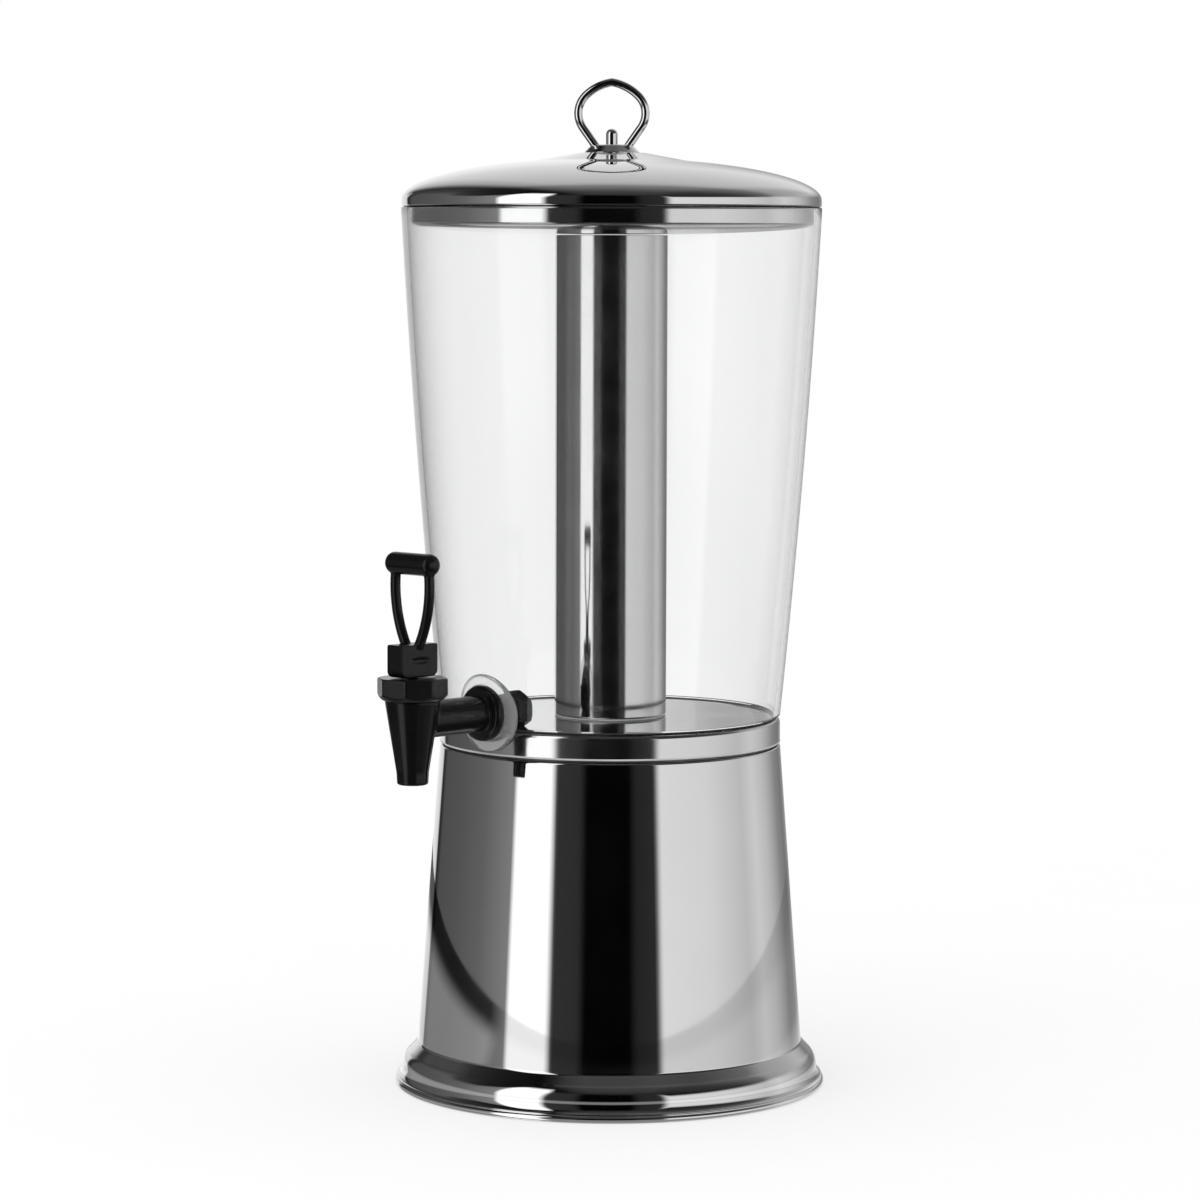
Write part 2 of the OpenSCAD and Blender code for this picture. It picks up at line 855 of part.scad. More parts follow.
// The whole centreline: one side up to the apex, then its mirror image down
function loop_path() =
    let (side = loop_side(), last = len(side) - 1)
    concat(side, [for (i = [last - 1:-1:0]) [-side[i][0], side[i][1]]]);

module loop_handle() {
    path = loop_path();
    last = len(path) - 1;
    sides = 24;
    points = [
        for (i = [0:last], j = [0:sides - 1])
            let (
                b = 360 * j / sides,
                q = side_point(path, i, rod_d / 2 * cos(b))
            )
            [q[0], rod_d / 2 * sin(b), q[1]]
    ];
    walls = [
        for (i = [0:last - 1], j = [0:sides - 1])
            let (k = (j + 1) % sides)
            [i * sides + j, i * sides + k, (i + 1) * sides + k, (i + 1) * sides + j]
    ];
    first_end = [for (j = [sides - 1:-1:0]) j];
    last_end = [for (j = [0:sides - 1]) last * sides + j];
    color(steel)
        rotate([0, 0, loop_turn])
            difference() {
                polyhedron(points, concat(walls, [first_end, last_end]));
                translate([-loop_w, -loop_w / 2, loop_z - loop_w])
                    cube([loop_w * 2, loop_w, loop_w]);
            }
}

module handle_bolt() {
    r = bolt_d / 2;
    end_z = plate_z - sheet_t - bolt_washer_t - bolt_nut_h - chamfer;
    top_z = loop_z + bolt_rise;
    color(steel)
        rotate_extrude() {
            translate([0, end_z])
                square([r, top_z - r - end_z]);
            intersection() {
                translate([0, top_z - r])
                    circle(r = r);
                translate([0, top_z - r])
                    square([r, r]);
            }
        }
}

module bolt_washer() {
    color(zinc)
        ring(plate_z - sheet_t - bolt_washer_t, bolt_washer_t, bolt_washer_d / 2, bolt_d / 2 + hole_gap);
}

module bolt_nut() {
    color(zinc)
        translate([0, 0, plate_z - sheet_t - bolt_washer_t - bolt_nut_h])
            hex_nut(bolt_nut_af, bolt_nut_h, bolt_d);
}

base_shell();
floor_cap();
container_seal();
container_wall();
ice_tube();
tube_gasket();
tube_stud();
stud_washer();
wing_nut();
tap_boss();
tap_outer_washer();
tap_body();
tap_inner_washer();
tap_nut();
tap_bonnet();
valve_spring();
valve_stem();
seat_cup();
lever_pin();
tap_lever();
lid_dome();
lid_liner();
handle_plate();
loop_handle();
handle_bolt();
bolt_washer();
bolt_nut();
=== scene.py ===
"""Looks of an upright drink dispenser: polished steel, a clear tapered wall and a black lever tap.

The sizes in the classes are millimetres, and a piece is brought to metres when it is finished.
The origin is on the table in the middle of the base, +Z is up and the tap points to -Y.
"""

import logging
import math
from dataclasses import dataclass
from enum import Enum

import bmesh
import bpy
from bmesh.types import BMEdge, BMesh, BMVert
from bpy.types import Material, Node, NodeSocket, NodeTree, Object
from mathutils import Matrix, Vector


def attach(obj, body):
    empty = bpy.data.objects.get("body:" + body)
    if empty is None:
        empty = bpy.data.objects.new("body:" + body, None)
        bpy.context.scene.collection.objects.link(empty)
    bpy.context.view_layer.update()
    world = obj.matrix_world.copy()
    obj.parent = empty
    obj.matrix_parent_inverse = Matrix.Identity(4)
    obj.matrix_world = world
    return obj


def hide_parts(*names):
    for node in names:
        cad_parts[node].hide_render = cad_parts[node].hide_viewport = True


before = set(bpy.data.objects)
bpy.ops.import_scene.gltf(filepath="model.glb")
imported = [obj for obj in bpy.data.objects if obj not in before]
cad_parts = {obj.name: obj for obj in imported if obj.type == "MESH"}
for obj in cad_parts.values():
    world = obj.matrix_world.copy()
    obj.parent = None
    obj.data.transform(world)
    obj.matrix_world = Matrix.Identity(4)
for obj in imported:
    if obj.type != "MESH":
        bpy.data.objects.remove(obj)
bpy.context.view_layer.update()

LOG = logging.getLogger("dispenser")
MM = 0.001  # a millimetre in metres
MERGE = 1e-4  # points closer than this are one point
GUARD = 0.6  # how far the extra points of a long line lie from its ends
GUARD_SHARE = 0.25  # a line is long where the guard is a smaller share of it than this
SPARE = 1.0  # how far a cutting body reaches past what it cuts
SHARP = 38.0  # edges that turn by more degrees than this stay sharp
SECTORS = 256  # steps round a large piece
TAP_SECTORS = 128  # steps round the tap's forms
CONE_SECTORS = 96  # steps round the nut's cone and the tap's chamber
ROD_SECTORS = 64  # steps round rods and bores
NOISE_LOW, NOISE_HIGH = 0.3, 0.7  # nearly all of a noise lies between these
WHITE = (1.0, 1.0, 1.0, 1.0)
Colour = tuple[float, float, float]
Place = tuple[float, float, float]
Stops = tuple[tuple[float, float], ...]


class Body(Enum):
    """The moving bodies that pieces ride on."""

    BASE = "base"
    CONTAINER = "container"
    LID = "lid"
    LEVER = "tap_lever"


class Slot(Enum):
    """The record's material slots."""

    STEEL = "polished_steel"
    ZINC = "zinc_steel"
    CLEAR = "clear_plastic"
    BLACK = "black_plastic"
    RUBBER = "black_rubber"
    GREY_SILICONE = "grey_silicone"
    WHITE_SILICONE = "white_silicone"


class Cut(Enum):
    """Ways to put two closed bodies together."""

    JOIN = "UNION"
    REMOVE = "DIFFERENCE"
    KEEP = "INTERSECT"


def grey(level: float) -> Colour:
    """A colour without a hue."""
    return (level, level, level)


def polar(r: float, degrees: float) -> tuple[float, float]:
    """How far a point at a distance and an angle lies along and up."""
    return r * math.cos(math.radians(degrees)), r * math.sin(math.radians(degrees))


class Graph:
    """A node tree that is wired up by short calls."""

    def __init__(self, tree: NodeTree) -> None:
        """Empties the tree."""
        self.tree = tree
        tree.nodes.clear()

    def node(
        self, kind: str, inputs: dict[str | int, object] | None = None, **settings: object
    ) -> Node:
        """Adds a node.

        Args:
            kind: Blender's name for the node.
            inputs: A number, colour or linked socket for each input.
            settings: The node's own options.

        Returns:
            The new node.
        """
        made = self.tree.nodes.new(kind)
        for name, value in settings.items():
            setattr(made, name, value)
        for key, value in (inputs or {}).items():
            if isinstance(value, NodeSocket):
                self.tree.links.new(value, made.inputs[key])
            else:
                made.inputs[key].default_value = value
        return made

    def math(self, operation: str, *values: object) -> NodeSocket:
        """Adds a Math node with numbers or sockets as its inputs."""
        return self.node("ShaderNodeMath", dict(enumerate(values)), operation=operation).outputs[0]

    def fit(
        self, value: NodeSocket, low: float, high: float, to_low: float, to_high: float
    ) -> NodeSocket:
        """Maps the range from low to high to another one, clamped."""
        limits = {0: value, 1: low, 2: high, 3: to_low, 4: to_high}
        return self.node("ShaderNodeMapRange", limits).outputs[0]

    def ramp(self, value: NodeSocket, stops: list[tuple[float, Colour]]) -> NodeSocket:
        """Adds a colour ramp.

        Args:
            value: What runs along it, 0 to 1.
            stops: Places and colours, in order.

        Returns:
            Its colour.
        """
        made = self.node("ShaderNodeValToRGB", {0: value})
        steps = made.color_ramp.elements
        ready = len(steps)
        for i, (place, colour) in enumerate(stops):
            step = steps[i] if i < ready else steps.new(place)
            step.position = place
            step.color = (*colour, 1.0)
        return made.outputs[0]

    def greys(
        self, value: NodeSocket, stops: Stops, low: float = -180.0, high: float = 180.0
    ) -> NodeSocket:
        """Adds a ramp of grey levels, whose places run from low at 0 to high at 1."""
        return self.ramp(value, [((a - low) / (high - low), grey(c)) for a, c in stops])

    def blend(self, share: NodeSocket, first: object, second: object) -> NodeSocket:
        """Blends two colours, with a share of the second."""
        sides = {0: share, 6: first, 7: second}
        return self.node("ShaderNodeMix", sides, data_type="RGBA").outputs[2]

    def mix(self, share: NodeSocket, first: Node, second: Node) -> Node:
        """Mixes two shaders, with a share of the second."""
        sides = {0: share, 1: first.outputs[0], 2: second.outputs[0]}
        return self.node("ShaderNodeMixShader", sides)

    def rise(self, angle: NodeSocket, low: float, high: float) -> NodeSocket:
        """Rises from 0 to 1 as an angle in radians passes between two angles in degrees."""
        return self.fit(angle, math.radians(low), math.radians(high), 0.0, 1.0)

    def bearing(
        self, x: NodeSocket, y: NodeSocket, azimuth: float
    ) -> tuple[NodeSocket, NodeSocket, NodeSocket]:
        """Turns a level direction to the side that the camera stands on.

        Args:
            x: Its X.
            y: Its Y.
            azimuth: Where the camera stands, in degrees from -Y.

        Returns:
            How far it goes to the right, to the back, and its bearing: 0.5 towards the camera,
            0 and 1 away from it.
        """
        cos, sin = polar(1.0, azimuth)
        right = self.math("ADD", self.math("MULTIPLY", x, cos), self.math("MULTIPLY", y, sin))
        back = self.math("SUBTRACT", self.math("MULTIPLY", y, cos), self.math("MULTIPLY", x, sin))
        side = self.math("ARCTAN2", right, self.math("MULTIPLY", back, -1.0))
        return right, back, self.fit(side, -math.pi, math.pi, 0.0, 1.0)

    def ray(self, name: str) -> NodeSocket:
        """A value that is kept for each ray of light."""
        return self.node("ShaderNodeLightPath").outputs[name]

    def mirrored(self) -> NodeSocket:
        """1 for rays that a polished surface has thrown back, 0 for others."""
        return self.math("GREATER_THAN", self.ray("Glossy Depth"), 0.5)

    def inside(self) -> NodeSocket:
        """1 where a ray went into a clear piece once and came out again, otherwise 0."""
        middle, reach = 2.5, 1.0  # a depth of 2 or 3
        return self.math("COMPARE", self.ray("Transmission Depth"), middle, reach)

    def noise(self, scale: float, detail: float = 2.0) -> NodeSocket:
        """Adds a noise in object coordinates.

        Args:
            scale: Lumps per metre.
            detail: Octaves.

        Returns:
            Its value.
        """
        place = self.node("ShaderNodeTexCoord").outputs["Object"]
        values = {"Vector": place, "Scale": scale, "Detail": detail}
        return self.node("ShaderNodeTexNoise", values).outputs[0]

    def bump(self, height: NodeSocket, depth: float, strength: float) -> NodeSocket:
        """Bends the normal by a relief whose depth is in metres."""
        values = {"Height": height, "Distance": depth, "Strength": strength}
        return self.node("ShaderNodeBump", values).outputs[0]


@dataclass(frozen=True)
class Finish:
    """A moulded surface with fine grain and uneven gloss.

    Lumps and ripples are counted per metre. The gloss runs between two shares of the roughness.
    """

    slot: Slot
    colour: Colour
    roughness: float
    relief: float = 0.1
    shine: float = 0.5
    kind: str = "look"
    gloss_lumps: float = 140.0
    gloss_detail: float = 2.0
    gloss_shares: tuple[float, float] = (0.85, 1.2)
    tone_lumps: float = 60.0
    tone_spread: float = 0.12
    ripple: float = 1800.0
    ripple_depth: float = 0.00004

    def material(self) -> Material:
        """The finish's material, made at its first use."""
        name = f"{self.slot.value}_{self.kind}"
        known = bpy.data.materials.get(name)
        if known is None:
            known = bpy.data.materials.new(name)
            known.use_nodes = True
            self.dress(Graph(known.node_tree))
        return known

    def dress(self, graph: Graph) -> None:
        """Wires the material.

        Args:
            graph: Its node tree.
        """
        low, high = (self.roughness * share for share in self.gloss_shares)
        gloss = graph.noise(self.gloss_lumps, self.gloss_detail)
        skin = {
            "Roughness": graph.fit(gloss, NOISE_LOW, NOISE_HIGH, low, high),
            "Normal": graph.bump(graph.noise(self.ripple), self.ripple_depth, self.relief),
            **self.stuff(graph),
        }
        shader = self.coated(graph, graph.node("ShaderNodeBsdfPrincipled", skin))
        graph.node("ShaderNodeOutputMaterial", {"Surface": shader.outputs[0]})

    def tone(self, graph: Graph) -> NodeSocket:
        """The colour, in soft lumps from a darker to a lighter tone.

        Args:
            graph: The material's node tree.

        Returns:
            The colour.
        """
        dark = tuple(c * (1 - self.tone_spread) for c in self.colour)
        light = tuple(min(1.0, c * (1 + self.tone_spread)) for c in self.colour)
        return graph.ramp(graph.noise(self.tone_lumps), [(NOISE_LOW, dark), (NOISE_HIGH, light)])

    def stuff(self, graph: Graph) -> dict[str, object]:
        """The shader's inputs that differ from one kind of stuff to another."""
        return {"Base Color": self.tone(graph), "Specular IOR Level": self.shine}

    def coated(self, graph: Graph, shader: Node) -> Node:
        """The shader with what lies over it: nothing, on a plain surface."""
        return shader


@dataclass(frozen=True)
class Metal(Finish):
    """A metal with cloudy gloss and a faint ripple."""

    gloss_lumps: float = 35.0
    gloss_detail: float = 4.0
    gloss_shares: tuple[float, float] = (0.6, 1.4)
    tone_lumps: float = 18.0
    tone_spread: float = 0.015
    ripple: float = 22.0
    ripple_depth: float = 0.001

    def stuff(self, graph: Graph) -> dict[str, object]:
        """The colour of its reflections."""
        return {"Base Color": self.tone(graph), "Metallic": 1.0}


@dataclass(frozen=True)
class Clear(Finish):
    """A clear plastic that lets light from lamps through."""

    gloss_lumps: float = 30.0
    gloss_detail: float = 3.0
    gloss_shares: tuple[float, float] = (0.0, 1.0)
    ripple: float = 14.0
    ripple_depth: float = 0.001
    ior: float = 1.49
    clarity: float = 1.0

    def stuff(self, graph: Graph) -> dict[str, object]:
        """How light goes through it."""
        colour = (*self.colour, 1.0)
        return {"Base Color": colour, "Transmission Weight": self.clarity, "IOR": self.ior}

    def coated(self, graph: Graph, shader: Node) -> Node:
        """The shader, see-through where a lamp's light is followed."""
        through = graph.node("ShaderNodeBsdfTransparent", {"Color": (*self.colour, 1.0)})
        return graph.mix(graph.ray("Is Shadow Ray"), shader, through)


GLASSY = (0.972, 0.976, 0.974)
STEEL = Metal(Slot.STEEL, grey(0.8), 0.035, 0.02)
SATIN = Metal(Slot.STEEL, grey(0.78), 0.1, 0.02, kind="satin")
# painted shade: the neck's dark, rough grey stands in for the shade in the seam under the collar
NECK_SEAM_SHADE = Metal(Slot.STEEL, grey(0.2), 0.5, 0.1, kind="dull", ripple=220.0)
# painted sheen: the steel hem is a plain mid-grey non-metal, a fixed light line in place of its
# reflections
HEM_PAINTED_SHEEN = Finish(Slot.STEEL, grey(0.5), 0.4, kind="hem")
ZINC = Metal(Slot.ZINC, (0.6, 0.6, 0.58), 0.3, 0.05, ripple=220.0)
CLEAR = Clear(Slot.CLEAR, GLASSY, 0.015, 0.01)
# painted reflection: a milky share makes the saddle's rim white in place of reflections in the
# clear plastic
CLEAR_PAINTED_SHEEN = Clear(Slot.CLEAR, GLASSY, 0.02, 0.01, kind="painted_sheen", clarity=0.88)
BLACK = Finish(Slot.BLACK, (0.004, 0.004, 0.0042), 0.2, 0.04, 0.35)
RUBBER = Finish(Slot.RUBBER, grey(0.02), 0.55, 0.3)
GREY_SILICONE = Finish(Slot.GREY_SILICONE, (0.72, 0.72, 0.725), 0.4)
# painted shade: the grey silicone seal is near black, standing in for the shade in the seam under
# the wall
SEAL_PAINTED_SHADE = Finish(Slot.GREY_SILICONE, grey(0.05), 0.45, kind="seal")
WHITE_SILICONE = Finish(Slot.WHITE_SILICONE, (0.75, 0.75, 0.73), 0.45)


def shift(bm: BMesh, x: float, y: float, z: float) -> BMesh:
    """Moves a whole mesh."""
    bmesh.ops.translate(bm, vec=(x, y, z), verts=bm.verts)
    return bm


def swing(bm: BMesh, degrees: float, axis: str) -> BMesh:
    """Turns a whole mesh about an axis through the origin."""
    bmesh.ops.rotate(bm, matrix=Matrix.Rotation(math.radians(degrees), 3, axis), verts=bm.verts)
    return bm


def stretch(bm: BMesh, x: float, y: float, z: float) -> BMesh:
    """Scales a whole mesh from the origin."""
    bmesh.ops.scale(bm, vec=(x, y, z), verts=bm.verts)
    return bm


def tidy(bm: BMesh) -> BMesh:
    """Merges points that coincide and turns all faces outwards.

    Args:
        bm: The mesh.

    Returns:
        The same mesh.
    """
    bmesh.ops.remove_doubles(bm, verts=bm.verts, dist=MERGE)
    bmesh.ops.dissolve_degenerate(bm, edges=bm.edges, dist=MERGE)
    bmesh.ops.recalc_face_normals(bm, faces=bm.faces)
    return bm


def new_object(bm: BMesh, name: str) -> Object:
    """Puts a mesh into the scene and frees it.

    Args:
        bm: The mesh.
        name: The new object's name.

    Returns:
        The object.
    """
    mesh = bpy.data.meshes.new(name)
    bm.to_mesh(mesh)
    bm.free()
    made = bpy.data.objects.new(name, mesh)
    bpy.context.scene.collection.objects.link(made)
    return made


def taken_back(made: Object, *others: Object) -> BMesh:
    """Reads an object with its modifiers applied, and takes it out of the scene.

    Args:
        made: The object.
        others: Objects that go with it.

    Returns:
        The finished mesh.
    """
    done = made.evaluated_get(bpy.context.evaluated_depsgraph_get())
    bm = bmesh.new()
    bm.from_mesh(done.to_mesh())
    done.to_mesh_clear()
    for thing in (made, *others):
        mesh = thing.data
        bpy.data.objects.remove(thing)
        bpy.data.meshes.remove(mesh)
    return bm


def combine(first: BMesh, second: BMesh, cut: Cut) -> BMesh:
    """Joins or cuts two closed bodies.

    Args:
        first: The body that is changed.
        second: The body that is added, taken away or kept.
        cut: How.

    Returns:
        The new body.
    """
    a, b = new_object(tidy(first), "first"), new_object(tidy(second), "second")
    step = a.modifiers.new("combine", "BOOLEAN")
    step.operation = cut.value
    step.solver = "EXACT"
    step.object = b
    return taken_back(a, b)


def moulded(bm: BMesh, grain: float, rounds: int) -> BMesh:
    """Rounds all edges and corners of a body a little, as a mould does.

    Args:
        bm: A closed body.
        grain: Size of the faces that it is made of afterwards.
        rounds: How often it is smoothed.

    Returns:
        The rounded body.
    """
    body = new_object(bm, "mould")
    step = body.modifiers.new("mould", "REMESH")
    step.mode = "VOXEL"
    step.voxel_size = grain
    out = taken_back(body)
    for _ in range(rounds):
        bmesh.ops.smooth_vert(
            out, verts=out.verts, factor=0.5, use_axis_x=True, use_axis_y=True, use_axis_z=True
        )
    return out


def make_piece(bm: BMesh, name: str, body: Body, finish: Finish, *nodes: str) -> None:
    """Finishes a piece: metres, smooth shading, material, body and the nodes that it stands for.

    Args:
        bm: Its mesh, in millimetres.
        name: Its name.
        body: What it rides on.
        finish: Its surface.
        nodes: The solids that it stands for.
    """
    made = new_object(stretch(bm, MM, MM, MM), name)
    made.data.shade_smooth()
    made.data.set_sharp_from_angle(angle=math.radians(SHARP))
    made.data.materials.append(finish.material())
    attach(made, body.value)
    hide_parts(*nodes)
    LOG.info("%s rides on %s, %d faces", name, body.value, len(made.data.polygons))


class Profile:
    """Half an outline in the XZ plane, drawn from point to point and then turned about Z."""

    def __init__(self, r: float, z: float) -> None:
        """Starts an outline.

        Args:
            r: Radius of its first point.
            z: Height of its first point.
        """
        self.bm = bmesh.new()
        self.first = self.bm.verts.new((r, 0.0, z))
        self.tip = self.first

    def step(self, place: Vector) -> None:
        """Pulls a new point out of the last one."""
        self.tip = bmesh.ops.extrude_vert_indiv(self.bm, verts=[self.tip])["verts"][0]
        self.tip.co = place

    def line(self, r: float, z: float) -> "Profile":
        """Draws a line, with a point near each end of a long one to keep its shading straight.

        Args:
            r: Radius of its end.
            z: Height of its end.

        Returns:
            The outline.
        """
        start = self.tip.co.copy()
        way = Vector((r, 0.0, z)) - start
        near = GUARD / way.length
        for part in (near, 1.0 - near, 1.0) if near < GUARD_SHARE else (1.0,):
            self.step(start + way * part)
        return self

    def arc(
        self, r: float, z: float, degrees: float, squash: float = 1.0, steps: int = 10
    ) -> "Profile":
        """Draws an arc about a centre.

        Args:
            r: Radius of the centre.
            z: Height of the centre.
            degrees: How far it turns, anticlockwise seen from -Y.
            squash: Height over width, where the arc is part of an oval.
            steps: Points along it.

        Returns:
            The outline.
        """
        before = set(self.bm.verts)
        place = self.tip.co.copy()
        place.z = z + (place.z - z) / squash
        self.step(place)
        turned = bmesh.ops.spin(
            self.bm,
            geom=[self.tip],
            cent=(r, 0.0, z),
            axis=(0.0, -1.0, 0.0),
            angle=math.radians(degrees),
            steps=steps,
        )
        self.tip = next(v for v in turned["geom_last"] if isinstance(v, BMVert))
        drawn = [v for v in self.bm.verts if v not in before]
        about = Matrix.Translation((-r, 0.0, -z))
        bmesh.ops.scale(self.bm, vec=(1.0, 1.0, squash), space=about, verts=drawn)
        return self

    def turned(self, closed: bool = True, sectors: int = SECTORS) -> BMesh:
        """Turns the outline about Z.

        Args:
            closed: Whether the last point joins the first. If not, both lie on the axis.
            sectors: Steps round the axis.

        Returns:
            The turned body.
        """
        if closed:
            bmesh.ops.contextual_create(self.bm, geom=[self.tip, self.first])
        bmesh.ops.spin(
            self.bm,
            geom=self.bm.verts[:] + self.bm.edges[:],
            cent=(0.0, 0.0, 0.0),
            axis=(0.0, 0.0, 1.0),
            angle=math.tau,
            steps=sectors,
            use_merge=True,
        )
        return tidy(self.bm)


def hoop(inner: float, outer: float, low: float, high: float) -> BMesh:
    """A ring of square section between two radii and two heights."""
    return Profile(inner, low).line(outer, low).line(outer, high).line(inner, high).turned()


@dataclass
class Pedestal:
    """Spun steel base: rolled lip, flared foot, cove, tapered wall, shoulder and neck."""

    lip_r: float = 1.9
    lip_c: float = 113.1
    lip_turn: float = 75.0
    lip_steps: int = 18
    foot_r: float = 111.0
    foot_z: float = 10.0
    foot_steps: int = 14
    inner_z: float = 3.2
    flare_w: float = 3.0
    flare_h: float = 5.6
    round_r: float = 10.5
    turn: float = 50.0
    cove_r: float = 2.5
    waist_r: float = 102.6
    waist_z: float = 23.9
    top_r: float = 90.8
    top_z: float = 182.6
    bend_r: float = 1.5
    neck_r: float = 88.7
    neck_z: float = 195.5
    sheet: float = 1.0

    def build(self) -> None:
        """Turns the pedestal's polished sheet and its neck, whose dark grey steel paints the shade
        in the seam under the collar.
        """
        round_c, cove_c = self.foot_r - self.round_r, self.waist_r + self.cove_r
        bend_c, bend_z = self.top_r - self.bend_r, self.top_z - self.bend_r
        neck_in, steps = self.neck_r - self.sheet, self.foot_steps
        round_x, round_h = polar(self.round_r, self.turn)
        cove_x, cove_h = polar(self.cove_r + self.sheet, self.turn)
        lip_x, lip_h = polar(self.lip_r, self.lip_turn)
        out = Profile(neck_in, self.top_z).line(bend_c, self.top_z)
        out.arc(bend_c, bend_z, -90.0).line(self.waist_r, self.waist_z)
        out.arc(cove_c, self.waist_z, self.turn)
        out.line(round_c + round_x, self.foot_z + round_h)
        out.arc(round_c, self.foot_z, -self.turn, steps=steps)
        out.arc(self.foot_r + self.flare_w, self.foot_z, 90.0, self.flare_h / self.flare_w, steps)
        out.line(self.lip_c + lip_x, self.lip_r + lip_h)
        out.arc(self.lip_c, self.lip_r, -90.0 - self.lip_turn, steps=self.lip_steps)
        out.line(self.foot_r, 0.0).line(self.foot_r, self.inner_z)
        out.line(self.foot_r - self.sheet, self.foot_z)
        out.arc(round_c, self.foot_z, self.turn)
        out.line(cove_c - cove_x, self.waist_z - cove_h)
        out.arc(cove_c, self.waist_z, -self.turn)
        out.line(self.top_r - self.sheet, bend_z).arc(bend_c, bend_z, 90.0)
        out.line(neck_in, self.top_z - self.sheet)
        make_piece(out.turned(), "pedestal", Body.BASE, STEEL, "base_shell")
        # painted shade: the neck is dark so that the seam under the collar reads as shade
        neck = hoop(neck_in, self.neck_r, self.top_z, self.neck_z)
        make_piece(neck, "neck", Body.BASE, NECK_SEAM_SHADE, "base_shell")


@dataclass
class FloorCap:
    """Steel cap with a turned-down, hemmed collar, and the seal that the wall stands on."""

    collar_r: float = 90.6
    low_z: float = 183.7
    floor_z: float = 197.5
    bend_r: float = 3.5
    bend_steps: int = 16
    hem_r: float = 0.6
    hem_step: float = 0.2
    hem_turn: float = 359.0
    hem_steps: int = 20
    sheet: float = 1.0
    hole_r: float = 4.3
    seal_r: float = 86.9
    seal_w: float = 1.4
    seal_low: float = 1.2
    seal_high: float = 0.5

    def build(self) -> None:
        """Turns the cap, its hem and its seal."""
        hem_c, hem_z = self.collar_r - self.hem_r + self.hem_step, self.low_z + self.hem_r
        bend_c, bend_z = self.collar_r - self.bend_r, self.floor_z - self.bend_r
        out = Profile(self.collar_r - self.sheet, hem_z).line(self.collar_r, hem_z)
        out.line(self.collar_r, bend_z).arc(bend_c, bend_z, 90.0, steps=self.bend_steps)
        out.line(self.hole_r, self.floor_z).line(self.hole_r, self.floor_z - self.sheet)
        out.line(bend_c, self.floor_z - self.sheet).arc(bend_c, bend_z, -90.0)
        make_piece(out.turned(), "floor_pan", Body.CONTAINER, SATIN, "floor_cap")
        # painted sheen: the hem is grey non-metal, not mirroring steel
        hem = Profile(hem_c + self.hem_r, hem_z)
        hem.arc(hem_c, hem_z, self.hem_turn, steps=self.hem_steps)
        make_piece(hem.turned(), "collar_hem", Body.CONTAINER, HEM_PAINTED_SHEEN, "floor_cap")
        # painted shade: the seal is near black so that the seam under the wall reads dark
        low, high = self.floor_z - self.seal_low, self.floor_z + self.seal_high
        seal = hoop(self.seal_r, self.seal_r + self.seal_w, low, high)
        make_piece(seal, "floor_seal", Body.CONTAINER, SEAL_PAINTED_SHADE, "container_seal")


@dataclass
class ClearWall:
    """Clear tapered wall, slightly bowed, with a hole for the tap."""

    low_r: float = 90.6
    high_r: float = 111.2
    low_z: float = 198.0
    height: float = 269.0
    bow: float = 1.6
    thick: float = 3.0
    edge: float = 0.6
    edge_steps: int = 5
    steps: int = 36
    hole_r: float = 6.6
    hole_z: float = 206.0
    drill_l: float = 8.0

    def radius(self, z: float) -> float:
        """The wall's outer radius at a height."""
        s = (z - self.low_z) / self.height
        return self.low_r + (self.high_r - self.low_r) * s + 4.0 * self.bow * s * (1.0 - s)

    def hug(self, verts: set[BMVert], inset: float) -> None:
        """Moves points along Y onto the wall's front, by an inset behind its outer face."""
        for v in verts:
            v.co.y = -math.sqrt((self.radius(v.co.z) - inset) ** 2 - v.co.x**2)

    def build(self) -> None:
        """Turns the wall and bores the hole."""
        edge, thick, top_z = self.edge, self.thick, self.low_z + self.height
        heights = [
            self.low_z + edge + (self.height - 2.0 * edge) * i / self.steps
            for i in range(self.steps + 1)
        ]
        edge_z, edge_r = heights[-1], self.radius(heights[-1])
        out = Profile(self.radius(self.low_z) - edge, self.low_z)
        for z in heights:
            out.step(Vector((self.radius(z), 0.0, z)))
        out.arc(edge_r - edge, edge_z, 90.0, steps=self.edge_steps)
        out.line(self.radius(top_z) - thick + edge, top_z)
        out.arc(edge_r - thick + edge, edge_z, 90.0, steps=self.edge_steps)
        for z in reversed(heights):
            out.step(Vector((self.radius(z) - thick, 0.0, z)))
        out.line(self.radius(self.low_z) - thick + edge, self.low_z)
        drill_low, drill_high = self.low_r - self.drill_l, self.low_r + self.drill_l
        drill = Profile(0.0, drill_low).line(self.hole_r, drill_low)
        drill.line(self.hole_r, drill_high).line(0.0, drill_high)
        bit = TapFrame(self.hole_z).laid(drill.turned(closed=False, sectors=ROD_SECTORS))
        wall = combine(out.turned(), bit, Cut.REMOVE)
        make_piece(wall, "clear_wall", Body.CONTAINER, CLEAR, "container_wall")


@dataclass
class TapFrame:
    """Where the tap sits: the height of its shank and how far its axis stands out."""

    shank_z: float = 206.0
    reach: float = 145.997

    def laid(self, bm: BMesh) -> BMesh:
        """Lays a turned body along the shank, its heights becoming distances from the middle."""
        return shift(swing(bm, 90.0, "X"), 0.0, 0.0, self.shank_z)

    def stood(self, bm: BMesh) -> BMesh:
        """Stands a turned body on the tap's own upright axis."""
        return shift(bm, 0.0, -self.reach, 0.0)


